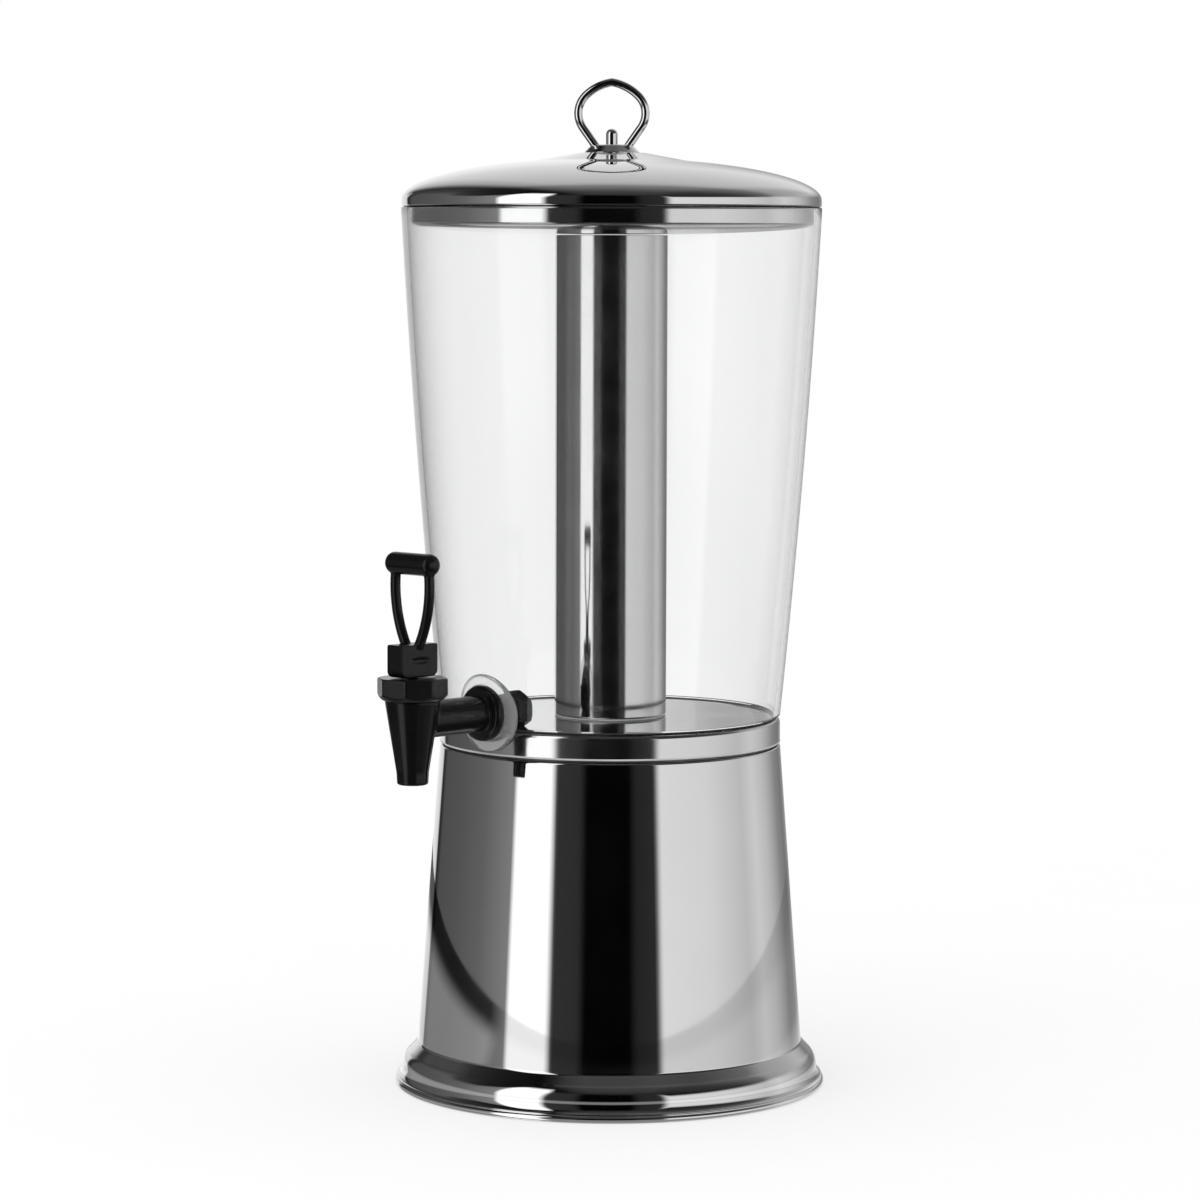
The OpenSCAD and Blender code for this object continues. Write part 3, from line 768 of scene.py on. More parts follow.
@dataclass
class IceTube:
    """Steel tube for ice, closed below and open above, on a flat gasket."""

    radius: float = 29.75
    low_z: float = 198.3
    high_z: float = 452.5
    bend_r: float = 1.0
    rim_r: float = 0.1
    rim_steps: int = 4
    sheet: float = 1.0
    gasket_r: float = 29.0
    gasket_t: float = 0.8
    stud_r: float = 4.3

    def build(self) -> None:
        """Turns the tube and its gasket."""
        bend_c, bend_z = self.radius - self.bend_r, self.low_z + self.bend_r
        inner, inner_z = self.radius - self.sheet, self.low_z + self.sheet
        rim_z, steps = self.high_z - self.rim_r, self.rim_steps
        out = Profile(0.0, self.low_z).line(bend_c, self.low_z)
        out.arc(bend_c, bend_z, 90.0).line(self.radius, rim_z)
        out.arc(self.radius - self.rim_r, rim_z, 90.0, steps=steps)
        out.line(inner + self.rim_r, self.high_z)
        out.arc(inner + self.rim_r, rim_z, 90.0, steps=steps)
        out.line(inner, inner_z).line(0.0, inner_z)
        make_piece(out.turned(closed=False), "ice_pipe", Body.CONTAINER, SATIN, "ice_tube")
        floor_z = self.low_z - self.gasket_t
        ring = Profile(self.stud_r, floor_z).line(self.gasket_r, floor_z)
        ring.arc(self.gasket_r, floor_z + self.gasket_t / 2.0, 180.0).line(self.stud_r, self.low_z)
        make_piece(ring.turned(), "pipe_gasket", Body.CONTAINER, GREY_SILICONE, "tube_gasket")


@dataclass
class Tap:
    """Black tap: flange, shank, spout and bonnet, with its boss, washers and nut on the wall."""

    wall: ClearWall
    place: TapFrame
    grain: float = 0.4
    rounds: int = 3
    shell_grain: float = 0.42
    shell_rounds: int = 8
    boss_r: float = 20.3
    boss_rim: float = 1.6
    boss_y: float = 94.197
    boss_gap: float = 0.4
    boss_rings: int = 8
    rim_steps: int = 12
    washer_t: float = 1.4
    washer_rim: float = 0.3
    washer_steps: int = 5
    washer_step: float = 0.2
    flange_r: float = 14.5
    flange_t: float = 4.0
    flange_rim: float = 1.8
    edge: float = 0.5
    shank_r: float = 9.5
    thread_r: float = 6.3
    bore_r: float = 4.4
    washer_r: float = 9.0
    washer_y: float = 77.4
    washer_end: float = 6.0
    nut_af: float = 18.0
    nut_y: float = 67.4
    nut_cone_w: float = 1.4
    nut_cone_h: float = 0.9
    thread_y: float = 66.4
    spout_z: float = 173.5
    spout_r: float = 8.0
    spout_edge: float = 0.6
    neck_r: float = 8.3
    neck_z: float = 179.9
    spout_bore: float = 5.3
    seat_z: float = 197.6
    chamber_z: float = 206.6
    chamber_r: float = 10.0
    body_r: float = 14.3
    body_z: float = 216.9
    collar_r: float = 12.5
    collar_z: float = 224.4
    bonnet_r: float = 18.4
    bonnet_z: float = 228.4
    bonnet_turn: float = 35.0
    bonnet_edge: float = 3.0
    bonnet_top_w: float = 1.2
    bonnet_top_h: float = 0.6
    bonnet_t: float = 3.0
    stem_r: float = 2.8

    def build(self) -> None:
        """Builds the tap from the wall outwards."""
        self.boss()
        self.washers()
        self.nut()
        self.shell()
        self.bonnet()

    def boss(self) -> None:
        """Clear saddle along the wall, with a round rim and a flat pad under the flange."""
        hole_r, pad_r, rim = self.wall.hole_r, self.flange_r, self.boss_rim
        rim_c, low_y = self.boss_r - rim, self.boss_y - 2.0 * rim
        shares = [i / self.boss_rings for i in range(1, self.boss_rings + 1)]
        out = Profile(hole_r, low_y)
        for share in shares:
            out.step(Vector((hole_r + (rim_c - hole_r) * share, 0.0, low_y)))
        out.arc(rim_c, self.boss_y - rim, 180.0, steps=self.rim_steps)
        for share in shares:
            out.step(Vector((rim_c + (pad_r - rim_c) * share, 0.0, self.boss_y)))
        bm = out.line(hole_r, self.boss_y).turned()
        for v in bm.verts:
            r = math.hypot(v.co.x, v.co.y)
            lift = v.co.z - low_y
            flat = v.co.z > self.boss_y - MERGE and r < pad_r + MERGE
            wall_y = math.sqrt(self.wall.radius(self.place.shank_z + v.co.y) ** 2 - v.co.x**2)
            v.co.z = self.boss_y if flat else wall_y + self.boss_gap + lift
        # painted reflection: the saddle's milky share stands in for the white reflections in its
        # rim
        make_piece(self.place.laid(bm), "saddle", Body.CONTAINER, CLEAR_PAINTED_SHEEN, "tap_boss")

    def washers(self) -> None:
        """Thin washer under the flange and thick washer inside the wall."""
        low, top, steps = self.boss_y, self.boss_y + self.washer_t, self.washer_steps
        r, rim = self.flange_r - self.washer_step, self.washer_rim
        out = Profile(self.thread_r, low).line(r - rim, low)
        out.arc(r - rim, low + rim, 90.0, steps=steps).line(r, top - rim)
        out.arc(r - rim, top - rim, 90.0, steps=steps).line(self.thread_r, top)
        thin = self.place.laid(out.turned(sectors=TAP_SECTORS))
        make_piece(thin, "flange_washer", Body.CONTAINER, RUBBER, "tap_outer_washer")
        end, edge_c = low - self.washer_end, self.washer_r - self.edge
        inner = Profile(self.thread_r, end).line(self.thread_r, self.washer_y)
        inner.line(edge_c, self.washer_y).arc(edge_c, self.washer_y + self.edge, 90.0)
        bm = inner.line(self.washer_r, end).turned(sectors=TAP_SECTORS)
        touching = {v for v in bm.verts if abs(v.co.z - end) < MERGE}
        self.place.laid(bm)
        self.wall.hug(touching, self.wall.thick + self.boss_gap / 2.0)
        make_piece(bm, "thick_washer", Body.CONTAINER, RUBBER, "tap_inner_washer")

    def nut(self) -> None:
        """Hexagon nut with rounded corners, flats to the sides."""
        low, high, cone = self.nut_y, self.washer_y, self.nut_cone_h
        corner = self.nut_af / 2.0 / math.cos(math.pi / 6.0)
        face_r = corner - self.nut_cone_w
        out = Profile(0.0, low).line(face_r, low).line(corner, low + cone)
        out.line(corner, high - cone).line(face_r, high).line(0.0, high)
        hexagon = self.prism(6, corner, low - SPARE, high + SPARE)
        body = combine(hexagon, out.turned(closed=False, sectors=CONE_SECTORS), Cut.KEEP)
        bore = self.rod(self.thread_r, low - 2.0 * SPARE, high + 2.0 * SPARE)
        body = moulded(combine(body, bore, Cut.REMOVE), self.grain, self.rounds)
        make_piece(self.place.laid(body), "shank_nut", Body.CONTAINER, BLACK, "tap_nut")

    def prism(
        self, sides: int, radius: float, low: float, high: float, degrees: float = 0.0
    ) -> BMesh:
        """A prism about Z.

        Args:
            sides: Its sides.
            radius: To its corners.
            low: Height of its foot.
            high: Height of its top.
            degrees: How far it is turned from a corner on an axis.

        Returns:
            The prism.
        """
        bm = bmesh.new()
        bmesh.ops.create_circle(bm, cap_ends=True, segments=sides, radius=radius)
        shift(swing(bm, degrees, "Z"), 0.0, 0.0, low)
        made = bmesh.ops.extrude_face_region(bm, geom=bm.faces[:])
        top = [v for v in made["geom"] if isinstance(v, BMVert)]
        bmesh.ops.translate(bm, vec=(0.0, 0.0, high - low), verts=top)
        return tidy(bm)

    def rod(self, radius: float, low: float, high: float) -> BMesh:
        """A round rod about Z, used as a drill."""
        return self.prism(ROD_SECTORS, radius, low, high)

    def shell(self) -> None:
        """Spout, body, shank, flange and thread in one moulding, bored through."""
        place, edge = self.place, self.spout_edge
        out = Profile(0.0, self.spout_z).line(self.spout_r - edge, self.spout_z)
        out.line(self.spout_r, self.spout_z + edge).line(self.neck_r, self.neck_z)
        out.line(self.body_r, self.body_z).line(self.collar_r, self.body_z)
        out.line(self.collar_r, self.collar_z).line(0.0, self.collar_z)
        body = place.stood(out.turned(closed=False, sectors=TAP_SECTORS))
        flange_y = self.boss_y + self.washer_t
        rim_y = flange_y + self.flange_rim
        squash = (self.flange_t - self.flange_rim) / (self.flange_r - self.shank_r)
        arm = Profile(0.0, self.thread_y).line(self.thread_r - self.edge, self.thread_y)
        arm.line(self.thread_r, self.thread_y + self.edge).line(self.thread_r, flange_y)
        arm.line(self.flange_r, flange_y).line(self.flange_r, rim_y)
        arm.arc(self.shank_r, rim_y, 90.0, squash, self.rim_steps)
        arm.line(self.shank_r, place.reach).line(0.0, place.reach)
        shank = place.laid(arm.turned(closed=False, sectors=TAP_SECTORS))
        low, high = self.spout_z - SPARE, self.collar_z + SPARE
        hollow = Profile(0.0, low).line(self.spout_bore, low)
        hollow.line(self.spout_bore, self.seat_z).line(self.chamber_r, self.chamber_z)
        hollow.line(self.chamber_r, high).line(0.0, high)
        chamber = place.stood(hollow.turned(closed=False, sectors=CONE_SECTORS))
        bore = place.laid(self.rod(self.bore_r, self.thread_y - SPARE, place.reach))
        body = combine(body, shank, Cut.JOIN)
        body = combine(combine(body, chamber, Cut.REMOVE), bore, Cut.REMOVE)
        body = moulded(body, self.shell_grain, self.shell_rounds)
        make_piece(body, "tap_shell", Body.CONTAINER, BLACK, "tap_body")

    def bonnet(self) -> None:
        """Octagonal cap with a coned lower edge."""
        r, low, high, edge = self.bonnet_r, self.body_z, self.bonnet_z, self.bonnet_edge
        out = Profile(0.0, low).line(r - edge, low).line(r, low + edge)
        out.line(r, high - self.bonnet_top_h).line(r - self.bonnet_top_w, high).line(0.0, high)
        prism = self.prism(8, r, low - SPARE, high + SPARE, self.bonnet_turn)
        body = combine(prism, out.turned(closed=False, sectors=TAP_SECTORS), Cut.KEEP)
        room = self.rod(self.collar_r, low - SPARE, high - self.bonnet_t)
        body = combine(body, room, Cut.REMOVE)
        body = combine(body, self.rod(self.stem_r, low, high + SPARE), Cut.REMOVE)
        body = self.place.stood(moulded(body, self.grain, self.rounds))
        make_piece(body, "tap_cap", Body.CONTAINER, BLACK, "tap_bonnet")


@dataclass
class Lever:
    """Black lever: cam block with an oval recess, two bowed arms and a round grip."""

    place: TapFrame
    grain: float = 0.35
    rounds: int = 4
    block_w: float = 11.5
    block_l: float = 25.0
    low_z: float = 228.8
    high_z: float = 245.6
    cam_r: float = 3.5
    top_r: float = 1.2
    edge_steps: int = 8
    recess_l: float = 13.0
    recess_h: float = 3.2
    recess_t: float = 0.7
    slot_w: float = 5.6
    slot_tilt: float = 34.0
    slot_round: float = 3.84
    round_sides: int = 48
    grip_z: float = 286.2
    grip_l: float = 34.0
    grip_r: float = 5.7
    grip_round: float = 4.6
    grip_steps: int = 12
    arm_r: float = 2.65
    arm_sides: int = 32
    arm_steps: int = 24
    bow_r: float = 64.3
    bow_x: float = 12.45
    bow_z: float = 275.2
    arm_low: float = -28.42
    arm_high: float = 9.85

    @property
    def pin_z(self) -> float:
        """Height of the pin, in the middle of the block."""
        return (self.low_z + self.high_z) / 2.0

    def build(self) -> None:
        """Joins the lever's forms into one moulding."""
        sides = (1.0, -1.0)
        body = self.block()
        for side in sides:
            body = combine(body, self.arm(side), Cut.JOIN)
        body = combine(body, self.grip(), Cut.JOIN)
        body = combine(body, self.slot(), Cut.REMOVE)
        for side in sides:
            body = combine(body, self.recess(side), Cut.REMOVE)
        body = self.place.stood(moulded(body, self.grain, self.rounds))
        make_piece(body, "pull_lever", Body.LEVER, BLACK, "tap_lever")

    def block(self) -> BMesh:
        """The cam block, with wide rounds below and small ones above."""
        bm = bmesh.new()
        bmesh.ops.create_cube(bm, size=1.0)
        stretch(bm, self.block_w, self.block_l, self.high_z - self.low_z)
        shift(bm, 0.0, 0.0, self.pin_z)
        for z, radius in ((self.low_z, self.cam_r), (self.high_z, self.top_r)):
            across = [
                e
                for e in bm.edges
                if all(abs(v.co.z - z) < MERGE for v in e.verts)
                and abs(e.verts[0].co.x - e.verts[1].co.x) > self.block_w / 2.0
            ]
            bmesh.ops.bevel(
                bm,
                geom=across,
                offset=radius,
                affect="EDGES",
                segments=self.edge_steps,
                profile=0.5,
                material=-1,
            )
        return bm

    def arm(self, side: float) -> BMesh:
        """One bowed arm.

        Args:
            side: 1 for +X, -1 for -X.

        Returns:
            The arm.
        """
        bm = bmesh.new()
        bmesh.ops.create_circle(bm, cap_ends=True, segments=self.arm_sides, radius=self.arm_r)
        swing(shift(bm, self.bow_r, 0.0, 0.0), -self.arm_low, "Y")
        bmesh.ops.spin(
            bm,
            geom=bm.faces[:],
            axis=(0.0, -1.0, 0.0),
            angle=math.radians(self.arm_high - self.arm_low),
            steps=self.arm_steps,
        )
        shift(bm, self.bow_x - self.bow_r, 0.0, self.bow_z)
        return stretch(bm, side, 1.0, 1.0)

    def grip(self) -> BMesh:
        """The round grip, lying along X."""
        half, flat, steps = self.grip_l / 2.0, self.grip_r - self.grip_round, self.grip_steps
        round_z = half - self.grip_round
        out = Profile(0.0, -half).line(flat, -half).arc(flat, -round_z, 90.0, steps=steps)
        out.line(self.grip_r, round_z).arc(flat, round_z, 90.0, steps=steps).line(0.0, half)
        bm = out.turned(closed=False, sectors=ROD_SECTORS)
        return shift(swing(bm, 90.0, "Y"), 0.0, 0.0, self.grip_z)

    def slot(self) -> BMesh:
        """Room under the block for the stem as the lever tilts: a wedge with a round head."""
        drop, r = self.pin_z - self.low_z + SPARE, self.slot_w / 2.0
        tilt = math.radians(self.slot_tilt)
        outline = (
            (r, 0.0),
            (r, -drop),
            (-drop * math.tan(tilt) - r / math.cos(tilt), -drop),
            (-r * math.cos(tilt), r * math.sin(tilt)),
        )
        wedge = bmesh.new()
        corners = [wedge.verts.new((-r, y, self.pin_z + z)) for y, z in outline]
        made = bmesh.ops.extrude_face_region(wedge, geom=[wedge.faces.new(corners)])
        far = [v for v in made["geom"] if isinstance(v, BMVert)]
        bmesh.ops.translate(wedge, vec=(self.slot_w, 0.0, 0.0), verts=far)
        head = bmesh.new()
        bmesh.ops.create_cone(
            head,
            cap_ends=True,
            segments=self.round_sides,
            radius1=self.slot_round,
            radius2=self.slot_round,
            depth=self.slot_w,
        )
        return combine(wedge, shift(swing(head, 90.0, "Y"), 0.0, 0.0, self.pin_z), Cut.JOIN)

    def recess(self, side: float) -> BMesh:
        """The oval recess on one side of the block.

        Args:
            side: 1 for +X, -1 for -X.

        Returns:
            The body that is cut away.
        """
        bm, rings = bmesh.new(), self.round_sides // 2
        bmesh.ops.create_uvsphere(bm, u_segments=self.round_sides, v_segments=rings, radius=0.5)
        stretch(bm, 2.0 * self.recess_t, self.recess_l, self.recess_h)
        return shift(bm, side * self.block_w / 2.0, 0.0, self.pin_z)


@dataclass
class Lid:
    """Domed steel lid with a liner below, a conical plate, a round-topped bolt and a loop."""

    radius: float = 110.9
    rim_z: float = 467.0
    rim_h: float = 4.0
    rise: float = 22.0
    dome_steps: int = 64
    inner_steps: int = 48
    turn_r: float = 40.0
    turn_w: float = 3.2
    turn_steps: int = 8
    slope_h: float = 4.1
    flat_r: float = 18.0
    flange_w: float = 7.0
    bend_r: float = 1.5
    sheet: float = 1.0
    hole_r: float = 3.4
    skirt_r: float = 106.8
    fillet: float = 1.2
    skirt_z: float = 457.7
    dish_depth: float = 4.8
    dish_flat: float = 80.0
    dish_edge: float = 8.0
    dish_bend: float = 60.0
    plate_r: float = 14.6
    plate_top: float = 11.2
    plate_h: float = 2.9
    cone_h: float = 4.2
    mound_h: float = 0.5
    plate_edge: float = 0.4
    plate_round: float = 0.6
    bolt_r: float = 3.1
    bolt_edge: float = 0.4
    bolt_rise: float = 9.8
    bolt_low: float = 488.319
    bolt_steps: int = 14
    rod_r: float = 2.2
    rod_sides: int = 40
    end_sides: int = 60
    leg_parts: tuple[float, float] = (0.95, 0.05)
    leg_sink: float = 0.6
    side_x: float = 4.6
    side_h: float = 17.8
    side_r: float = 13.1
    side_steps: int = 28
    top_r: float = 25.2
    top_steps: int = 20
    lean: float = 35.0
    shoulder: float = 45.0
    loop_turn: float = 44.0
    loop_merge: float = 0.01

    @property
    def plate_z(self) -> float:
        """Height of the dome's flat."""
        turn = math.sqrt(1.0 - (self.turn_r / self.radius) ** 2)
        return self.rim_z + self.rim_h + self.rise * turn + self.slope_h

    def build(self) -> None:
        """Builds the lid from its dome upwards."""
        self.dome()
        self.liner()
        self.plate()
        self.bolt()
        self.loop()

    def dome(self) -> None:
        """The dome's sheet, turned in below to a flat flange."""
        r, t, plate_z = self.radius, self.sheet, self.plate_z
        dome_z, bend_z, bend_c = self.rim_z + self.rim_h, self.rim_z + self.bend_r, r - self.bend_r
        slope = Vector((self.flat_r - self.turn_r, self.slope_h)).normalized()
        end = Vector((self.turn_r, plate_z - self.slope_h)) + slope * self.turn_w
        turn = math.acos((self.turn_r + self.turn_w) / r)
        start = Vector((r * math.cos(turn), dome_z + self.rise * math.sin(turn)))
        before = Vector((-r * math.sin(turn), self.rise * math.cos(turn))).normalized()
        bend = before.angle(slope)
        wide = (end - start).length / 2.0 / math.sin(bend / 2.0)
        centre = start + Vector((before.y, -before.x)) * wide
        out = Profile(r - self.flange_w, self.rim_z).line(bend_c, self.rim_z)
        out.arc(bend_c, bend_z, 90.0).line(r, dome_z)
        out.arc(0.0, dome_z, math.degrees(turn), self.rise / r, self.dome_steps)
        out.arc(centre.x, centre.y, -math.degrees(bend), steps=self.turn_steps)
        out.line(self.flat_r, plate_z).line(self.hole_r, plate_z)
        out.line(self.hole_r, plate_z - t).line(self.flat_r, plate_z - t)
        inner_r, inner_rise = r - t, self.rise - t
        turn = math.acos(self.turn_r / inner_r)
        out.line(self.turn_r, dome_z + inner_rise * math.sin(turn))
        out.arc(0.0, dome_z, -math.degrees(turn), inner_rise / inner_r, self.inner_steps)
        out.line(inner_r, bend_z).arc(bend_c, bend_z, -90.0)
        out.line(r - self.flange_w, self.rim_z + t)
        make_piece(out.turned(), "dome", Body.LID, STEEL, "lid_dome")

    def liner(self) -> None:
        """The skirt inside the wall and the shallow dish that closes it."""
        t, r, steps = self.sheet, self.skirt_r, self.inner_steps
        low, top = self.skirt_z - self.dish_depth, self.rim_z - self.fillet
        bend_c, bend_z = r - self.bend_r, self.skirt_z + self.bend_r
        depth = self.dish_depth / math.sin(math.radians(self.dish_flat))
        squash, turn = depth / bend_c, self.dish_flat - self.dish_edge
        bend_x, bend_h = polar(self.bend_r, self.dish_bend)
        edge_x, edge_h = polar(bend_c, self.dish_edge)
        out = Profile(0.0, low).line(polar(bend_c, self.dish_flat)[0], low)
        out.arc(0.0, self.skirt_z, turn, squash, steps)
        out.line(bend_c + bend_x, bend_z - bend_h).arc(bend_c, bend_z, self.dish_bend)
        out.line(r, top).arc(r + self.fillet, top, -90.0).line(r - t, self.rim_z)
        out.line(r - t, bend_z).arc(bend_c, bend_z, -self.dish_bend)
        out.line(edge_x, self.skirt_z + t - edge_h * squash)
        out.arc(0.0, self.skirt_z + t, -turn, squash, steps).line(0.0, low + t)
        make_piece(out.turned(closed=False), "liner", Body.LID, STEEL, "lid_liner")

    def plate(self) -> None:
        """The conical plate under the loop, with a low mound round the bolt."""
        low, high, edge = self.plate_z, self.plate_z + self.cone_h, self.plate_edge
        out = Profile(self.bolt_r, low).line(self.plate_r - edge, low)
        out.line(self.plate_r, low + edge).line(self.plate_top, high - edge)
        out.line(self.plate_top - self.plate_round, high).line(self.bolt_r, high + self.mound_h)
        make_piece(out.turned(), "cone_plate", Body.LID, STEEL, "handle_plate")

    def bolt(self) -> None:
        """The round-topped bolt."""
        ball_z = self.plate_z + self.plate_h + self.bolt_rise - self.bolt_r
        out = Profile(0.0, self.bolt_low).line(self.bolt_r - self.bolt_edge, self.bolt_low)
        out.line(self.bolt_r, self.bolt_low + self.bolt_edge).line(self.bolt_r, ball_z)
        out.arc(0.0, ball_z, 90.0, steps=self.bolt_steps)
        body = out.turned(closed=False, sectors=ROD_SECTORS)
        make_piece(body, "round_bolt", Body.LID, STEEL, "handle_bolt")

    def loop(self) -> None:
        """The pointed loop of round rod: one half bent step by step, then mirrored."""
        plate_z = self.plate_z + self.plate_h
        side_z = plate_z + self.side_h
        bend_x, bend_h = polar(self.side_r, -self.lean)
        bend = Vector((self.side_x + bend_x, 0.0, side_z + bend_h))
        leg_h = bend.z - plate_z + self.leg_sink
        leg = Vector((leg_h * math.tan(math.radians(self.lean)), 0.0, leg_h))
        top_x, top_h = polar(self.side_r - self.top_r, self.shoulder)
        bm = bmesh.new()
        bmesh.ops.create_circle(bm, cap_ends=False, segments=self.rod_sides, radius=self.rod_r)
        shift(swing(bm, self.lean, "Y"), *(bend - leg))
        ring = bm.edges[:]
        for part in self.leg_parts:
            made = bmesh.ops.extrude_edge_only(bm, edges=ring)["geom"]
            ring = [e for e in made if isinstance(e, BMEdge)]
            points = [v for v in made if isinstance(v, BMVert)]
            bmesh.ops.translate(bm, vec=leg * part, verts=points)
        bends = (
            (self.side_x, side_z, self.lean + self.shoulder, self.side_steps),
            (self.side_x + top_x, side_z + top_h, 90.0 - self.shoulder, self.top_steps),
        )
        for x, z, degrees, steps in bends:
            made = bmesh.ops.spin(
                bm,
                geom=ring,
                cent=(x, 0.0, z),
                axis=(0.0, -1.0, 0.0),
                angle=math.radians(degrees),
                steps=steps,
            )
            ring = [e for e in made["geom_last"] if isinstance(e, BMEdge)]
        bmesh.ops.bisect_plane(
            bm,
            geom=bm.verts[:] + bm.edges[:] + bm.faces[:],
            plane_co=(0.0, 0.0, 0.0),
            plane_no=(-1.0, 0.0, 0.0),
            clear_outer=True,
        )
        half = bm.verts[:] + bm.edges[:] + bm.faces[:]
        bmesh.ops.mirror(bm, geom=half, merge_dist=self.loop_merge, axis="X")
        bmesh.ops.holes_fill(bm, edges=bm.edges[:], sides=self.end_sides)
        loop = tidy(swing(bm, self.loop_turn, "Z"))
        make_piece(loop, "loop_rod", Body.LID, STEEL, "loop_handle")


@dataclass
class Hardware:
    """Small fittings whose solids are shown as they are, with a better surface."""

    zinc: tuple[str, ...] = (
        "tube_stud", "stud_washer", "wing_nut", "valve_spring",
        "lever_pin", "bolt_washer", "bolt_nut",
    )
    black: tuple[str, ...] = ("valve_stem",)
    white: tuple[str, ...] = ("seat_cup",)

    def build(self) -> None:
        """Gives each fitting its finish."""
        groups = ((self.zinc, ZINC), (self.black, BLACK), (self.white, WHITE_SILICONE))
        for names, finish in groups:
            for name in names:
                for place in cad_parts[name].material_slots:
                    place.material = finish.material()
                LOG.info("%s keeps its solid, in %s", name, finish.slot.value)


@dataclass
class Studio:
    """Pale floor, soft light, the cards that the steel mirrors, and the camera.

    Stops give a level for a bearing in degrees, where 0 is towards the camera and the right is
    positive. The ceiling's stops run over the top from the back, and its sides from left to right.
    The floor's and the lamp's places are in metres.
    """

    azimuth: float = 43.5
    distance: float = 2235.7
    height: float = 456.9
    pitch: float = 5.064
    yaw: float = 0.143
    roll: float = 0.15
    lens: float = 126.43
    sensor: float = 36.0
    floor_r: float = 0.95
    floor_sides: int = 128
    floor_glow: float = 0.55
    paper_lumps: float = 6.0
    paper_tones: tuple[float, float] = (0.94, 0.955)
    lamp_power: float = 10.0
    lamp_size: float = 1.6
    lamp_at: Place = (0.2, -1.6, 2.2)
    lamp_aim: Place = (0.0, 0.0, 0.2)
    cards: Stops = (
        (-180.0, 0.95), (-166.0, 0.88), (-152.0, 0.75), (-149.0, 0.03), (-146.0, 0.03),
        (-141.0, 0.085), (-113.0, 0.104), (-89.0, 0.14), (-66.0, 0.24), (-63.0, 1.3),
        (-39.0, 1.3), (-35.0, 0.035), (-20.0, 0.03), (-15.0, 0.001), (12.0, 0.001),
        (17.0, 0.02), (29.0, 0.028), (33.0, 0.84), (66.0, 0.78), (96.0, 0.6),
        (109.0, 0.72), (123.0, 0.58), (142.0, 0.28), (156.0, 0.2), (170.0, 0.35),
        (178.0, 0.45), (179.6, 0.85), (180.0, 0.95),
    )
    card_tops: Stops = (
        (-180.0, 12.0), (-150.0, 12.0), (-145.0, 22.0), (-82.0, 24.0), (-70.0, 34.0),
        (-63.0, 52.0), (-42.0, 52.0), (-36.0, 40.0), (28.0, 34.0), (34.0, 19.0),
        (110.0, 19.0), (150.0, 12.0), (180.0, 12.0),
    )
    card_blur: float = 5.0
    ceiling: Stops = (
        (0.0, 1.0), (12.0, 0.88), (20.0, 0.78), (30.0, 0.69), (39.0, 0.63),
        (51.0, 0.56), (57.0, 0.49), (62.0, 0.36), (67.0, 0.24), (76.0, 0.185),
        (89.0, 0.11), (105.0, 0.06), (124.0, 0.047), (147.0, 0.016), (180.0, 0.004),
    )
    ceiling_sides: Stops = (
        (-1.0, 0.3), (-0.6, 0.09), (-0.4, 0.05), (-0.33, 0.25), (-0.26, 0.65),
        (-0.15, 0.95), (0.3, 1.0), (0.47, 0.7), (1.0, 0.6),
    )
    grounds: Stops = (
        (-180.0, 0.28), (-120.0, 0.15), (-66.0, 0.06), (-62.0, 0.3), (-40.0, 0.3),
        (-34.0, 0.02), (30.0, 0.02), (36.0, 0.1), (120.0, 0.15), (180.0, 0.28),
    )
    ground_rise: tuple[float, float] = (-12.0, -9.0)
    wall_edges: Stops = (
        (-180.0, 0.36), (-52.0, 0.36), (-38.0, 0.03), (38.0, 0.03), (60.0, 1.0), (180.0, 1.0),
    )
    table_shine: float = 0.85
    table_rough: float = 0.06
    # painted pool of light round the foot, seen only in the steel's reflections
    table_near: float = 0.24
    near_fade: tuple[float, float] = (0.18, 0.3)
    table_sides: Stops = ((-180.0, 0.16), (-72.0, 0.16), (-64.0, 0.0), (180.0, 0.02))
    side_fade: tuple[float, float] = (0.56, 0.72)
    table_edges: Stops = ((-180.0, 0.85), (-72.0, 0.85), (-62.0, 0.1), (180.0, 0.1))
    edge_rise: tuple[float, float] = (0.6, 0.76)

    def build(self) -> None:
        """Sets up the whole studio."""
        bpy.context.scene.view_settings.view_transform = "Standard"
        self.world()
        self.floor()
        self.lamp()
        self.camera()

    def world(self) -> None:
        """White all round, but the cards and the ceiling where polished steel mirrors them."""
        world = bpy.data.worlds.new("studio")
        bpy.context.scene.world = world
        world.use_nodes = True
        graph = Graph(world.node_tree)
        look = graph.node("ShaderNodeTexCoord").outputs["Generated"]
        x, y, z = graph.node("ShaderNodeSeparateXYZ", {0: look}).outputs
        right, back, across = graph.bearing(x, y, self.azimuth)
        over = graph.fit(graph.math("ARCTAN2", z, back), 0.0, math.pi, 0.0, 1.0)
        ceiling = graph.greys(over, self.ceiling, 0.0, 180.0)
        beside = graph.fit(right, -1.0, 1.0, 0.0, 1.0)
        roof = graph.math("MULTIPLY", ceiling, graph.greys(beside, self.ceiling_sides, -1.0, 1.0))
        height = graph.math("ARCSINE", z)
        tops = tuple((place, top / 90.0) for place, top in self.card_tops)
        top = graph.math("MULTIPLY", graph.greys(across, tops), math.pi / 2.0)
        above = graph.rise(graph.math("SUBTRACT", height, top), -self.card_blur, self.card_blur)
        room = graph.blend(above, graph.greys(across, self.cards), roof)
        ground = graph.greys(across, self.grounds)
        room = graph.blend(graph.rise(height, *self.ground_rise), ground, room)
        room = graph.blend(graph.inside(), room, graph.greys(across, self.wall_edges))
        plain = graph.node("ShaderNodeBackground", {0: WHITE, 1: 1.0})
        studio = graph.node("ShaderNodeBackground", {0: room, 1: 1.0})
        mixed = graph.mix(graph.mirrored(), plain, studio)
        graph.node("ShaderNodeOutputWorld", {"Surface": mixed.outputs[0]})

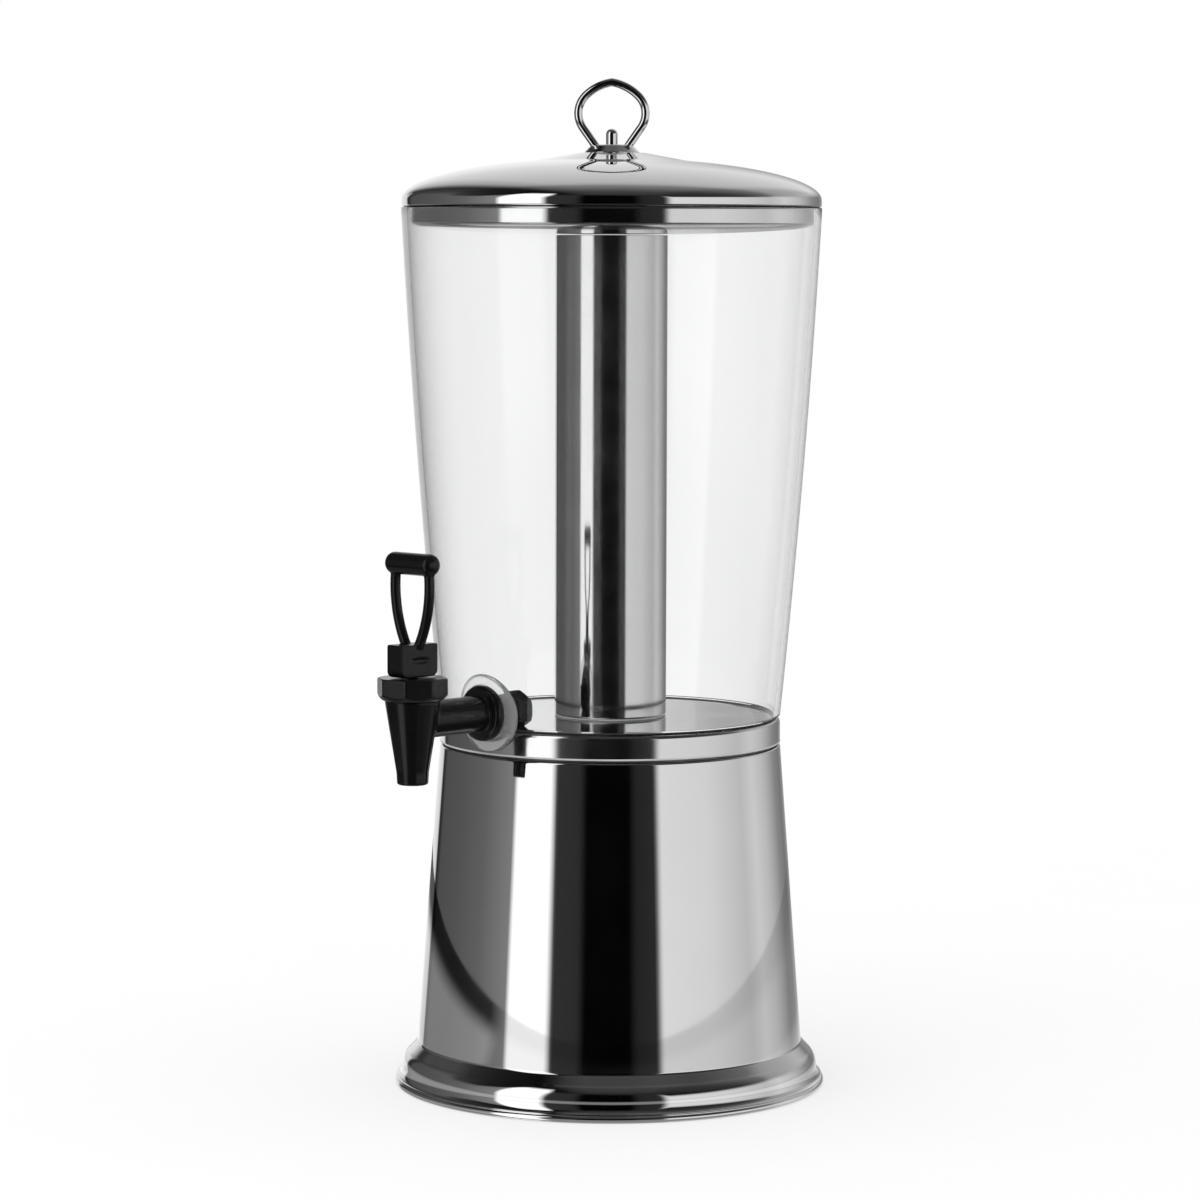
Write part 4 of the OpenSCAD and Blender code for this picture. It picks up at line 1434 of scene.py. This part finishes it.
    def floor(self) -> None:
        """A pale disc that takes the object's shadow, and that steel sees as a polished table with
        painted glow on it.
        """
        bm = bmesh.new()
        bmesh.ops.create_circle(bm, cap_ends=True, segments=self.floor_sides, radius=self.floor_r)
        floor = new_object(bm, "floor")
        look = bpy.data.materials.new("floor_paper")
        look.use_nodes = True
        graph = Graph(look.node_tree)
        low, high = (grey(level) for level in self.paper_tones)
        lumps = graph.noise(self.paper_lumps)
        tone = graph.ramp(lumps, [(NOISE_LOW, low), (NOISE_HIGH, high)])
        paper = graph.node("ShaderNodeBsdfDiffuse", {"Color": tone})
        white = graph.node("ShaderNodeEmission", {0: WHITE, 1: 1.0})
        glow = graph.fit(graph.ray("Is Camera Ray"), 0.0, 1.0, 0.0, self.floor_glow)
        painted_glow, shine = self.table(graph)
        sheen = graph.node("ShaderNodeBsdfGlossy", {"Color": shine, "Roughness": self.table_rough})
        # painted light: the table glows, only for rays that steel throws back, paler near the foot
        # and on some sides
        pale = graph.node("ShaderNodeEmission", {0: painted_glow, 1: 1.0})
        polish = graph.node("ShaderNodeAddShader", {0: sheen.outputs[0], 1: pale.outputs[0]})
        mixed = graph.mix(graph.mirrored(), graph.mix(glow, paper, white), polish)
        graph.node("ShaderNodeOutputMaterial", {"Surface": mixed.outputs[0]})
        floor.data.materials.append(look)

    def table(self, graph: Graph) -> tuple[NodeSocket, NodeSocket]:
        """How steel sees the table: a painted glow on some sides and a painted pool of light close
        to the foot, duller at its edge.

        Args:
            graph: The floor's node tree.

        Returns:
            The painted glow on it and how much it mirrors.
        """
        place = graph.node("ShaderNodeTexCoord").outputs["Object"]
        x, y, _ = graph.node("ShaderNodeSeparateXYZ", {0: place}).outputs
        across = graph.bearing(x, y, self.azimuth)[2]
        far = graph.node("ShaderNodeVectorMath", {0: place}, operation="LENGTH").outputs["Value"]
        side = graph.greys(across, self.table_sides)
        side = graph.math("MULTIPLY", side, graph.fit(far, *self.side_fade, 1.0, 0.0))
        near = graph.fit(far, *self.near_fade, self.table_near, 0.0)
        edge = graph.greys(across, self.table_edges)
        dull = graph.math("MULTIPLY", edge, graph.fit(far, *self.edge_rise, 0.0, 1.0))
        shine = graph.math("MULTIPLY_ADD", dull, -self.table_shine, self.table_shine)
        return graph.math("MAXIMUM", near, side), shine

    def lamp(self) -> None:
        """One large soft lamp, high on the left, that steel doesn't mirror."""
        light = bpy.data.lights.new("soft_lamp", "AREA")
        light.energy = self.lamp_power
        light.size = self.lamp_size
        lamp = bpy.data.objects.new("soft_lamp", light)
        lamp.location = self.lamp_at
        aim = Vector(self.lamp_aim) - lamp.location
        lamp.rotation_euler = aim.to_track_quat("-Z", "Y").to_euler()
        lamp.visible_glossy = False
        bpy.context.scene.collection.objects.link(lamp)

    def camera(self) -> None:
        """The camera where the photograph was taken from."""
        lens = bpy.data.cameras.new("camera")
        lens.lens = self.lens
        lens.sensor_width = self.sensor
        lens.sensor_fit = "HORIZONTAL"
        camera = bpy.data.objects.new("camera", lens)
        forward, sideways = polar(self.distance * MM, self.azimuth)
        camera.location = (sideways, -forward, self.height * MM)
        aim = Matrix.Rotation(math.radians(self.azimuth + self.yaw), 3, "Z")
        aim = aim @ Matrix.Rotation(math.radians(90.0 - self.pitch), 3, "X")
        aim = aim @ Matrix.Rotation(math.radians(self.roll), 3, "Z")
        camera.rotation_euler = aim.to_euler()
        bpy.context.scene.collection.objects.link(camera)
        bpy.context.scene.camera = camera


def main() -> None:
    """Builds the dispenser and its studio."""
    logging.basicConfig(level=logging.INFO, format="%(name)s: %(message)s")
    wall, place = ClearWall(), TapFrame()
    for part in (
        Studio(),
        Pedestal(),
        FloorCap(),
        wall,
        IceTube(),
        Tap(wall, place),
        Lever(place),
        Lid(),
        Hardware(),
    ):
        part.build()
        LOG.info("%s done", type(part).__name__)


if __name__ == "__main__":
    main()
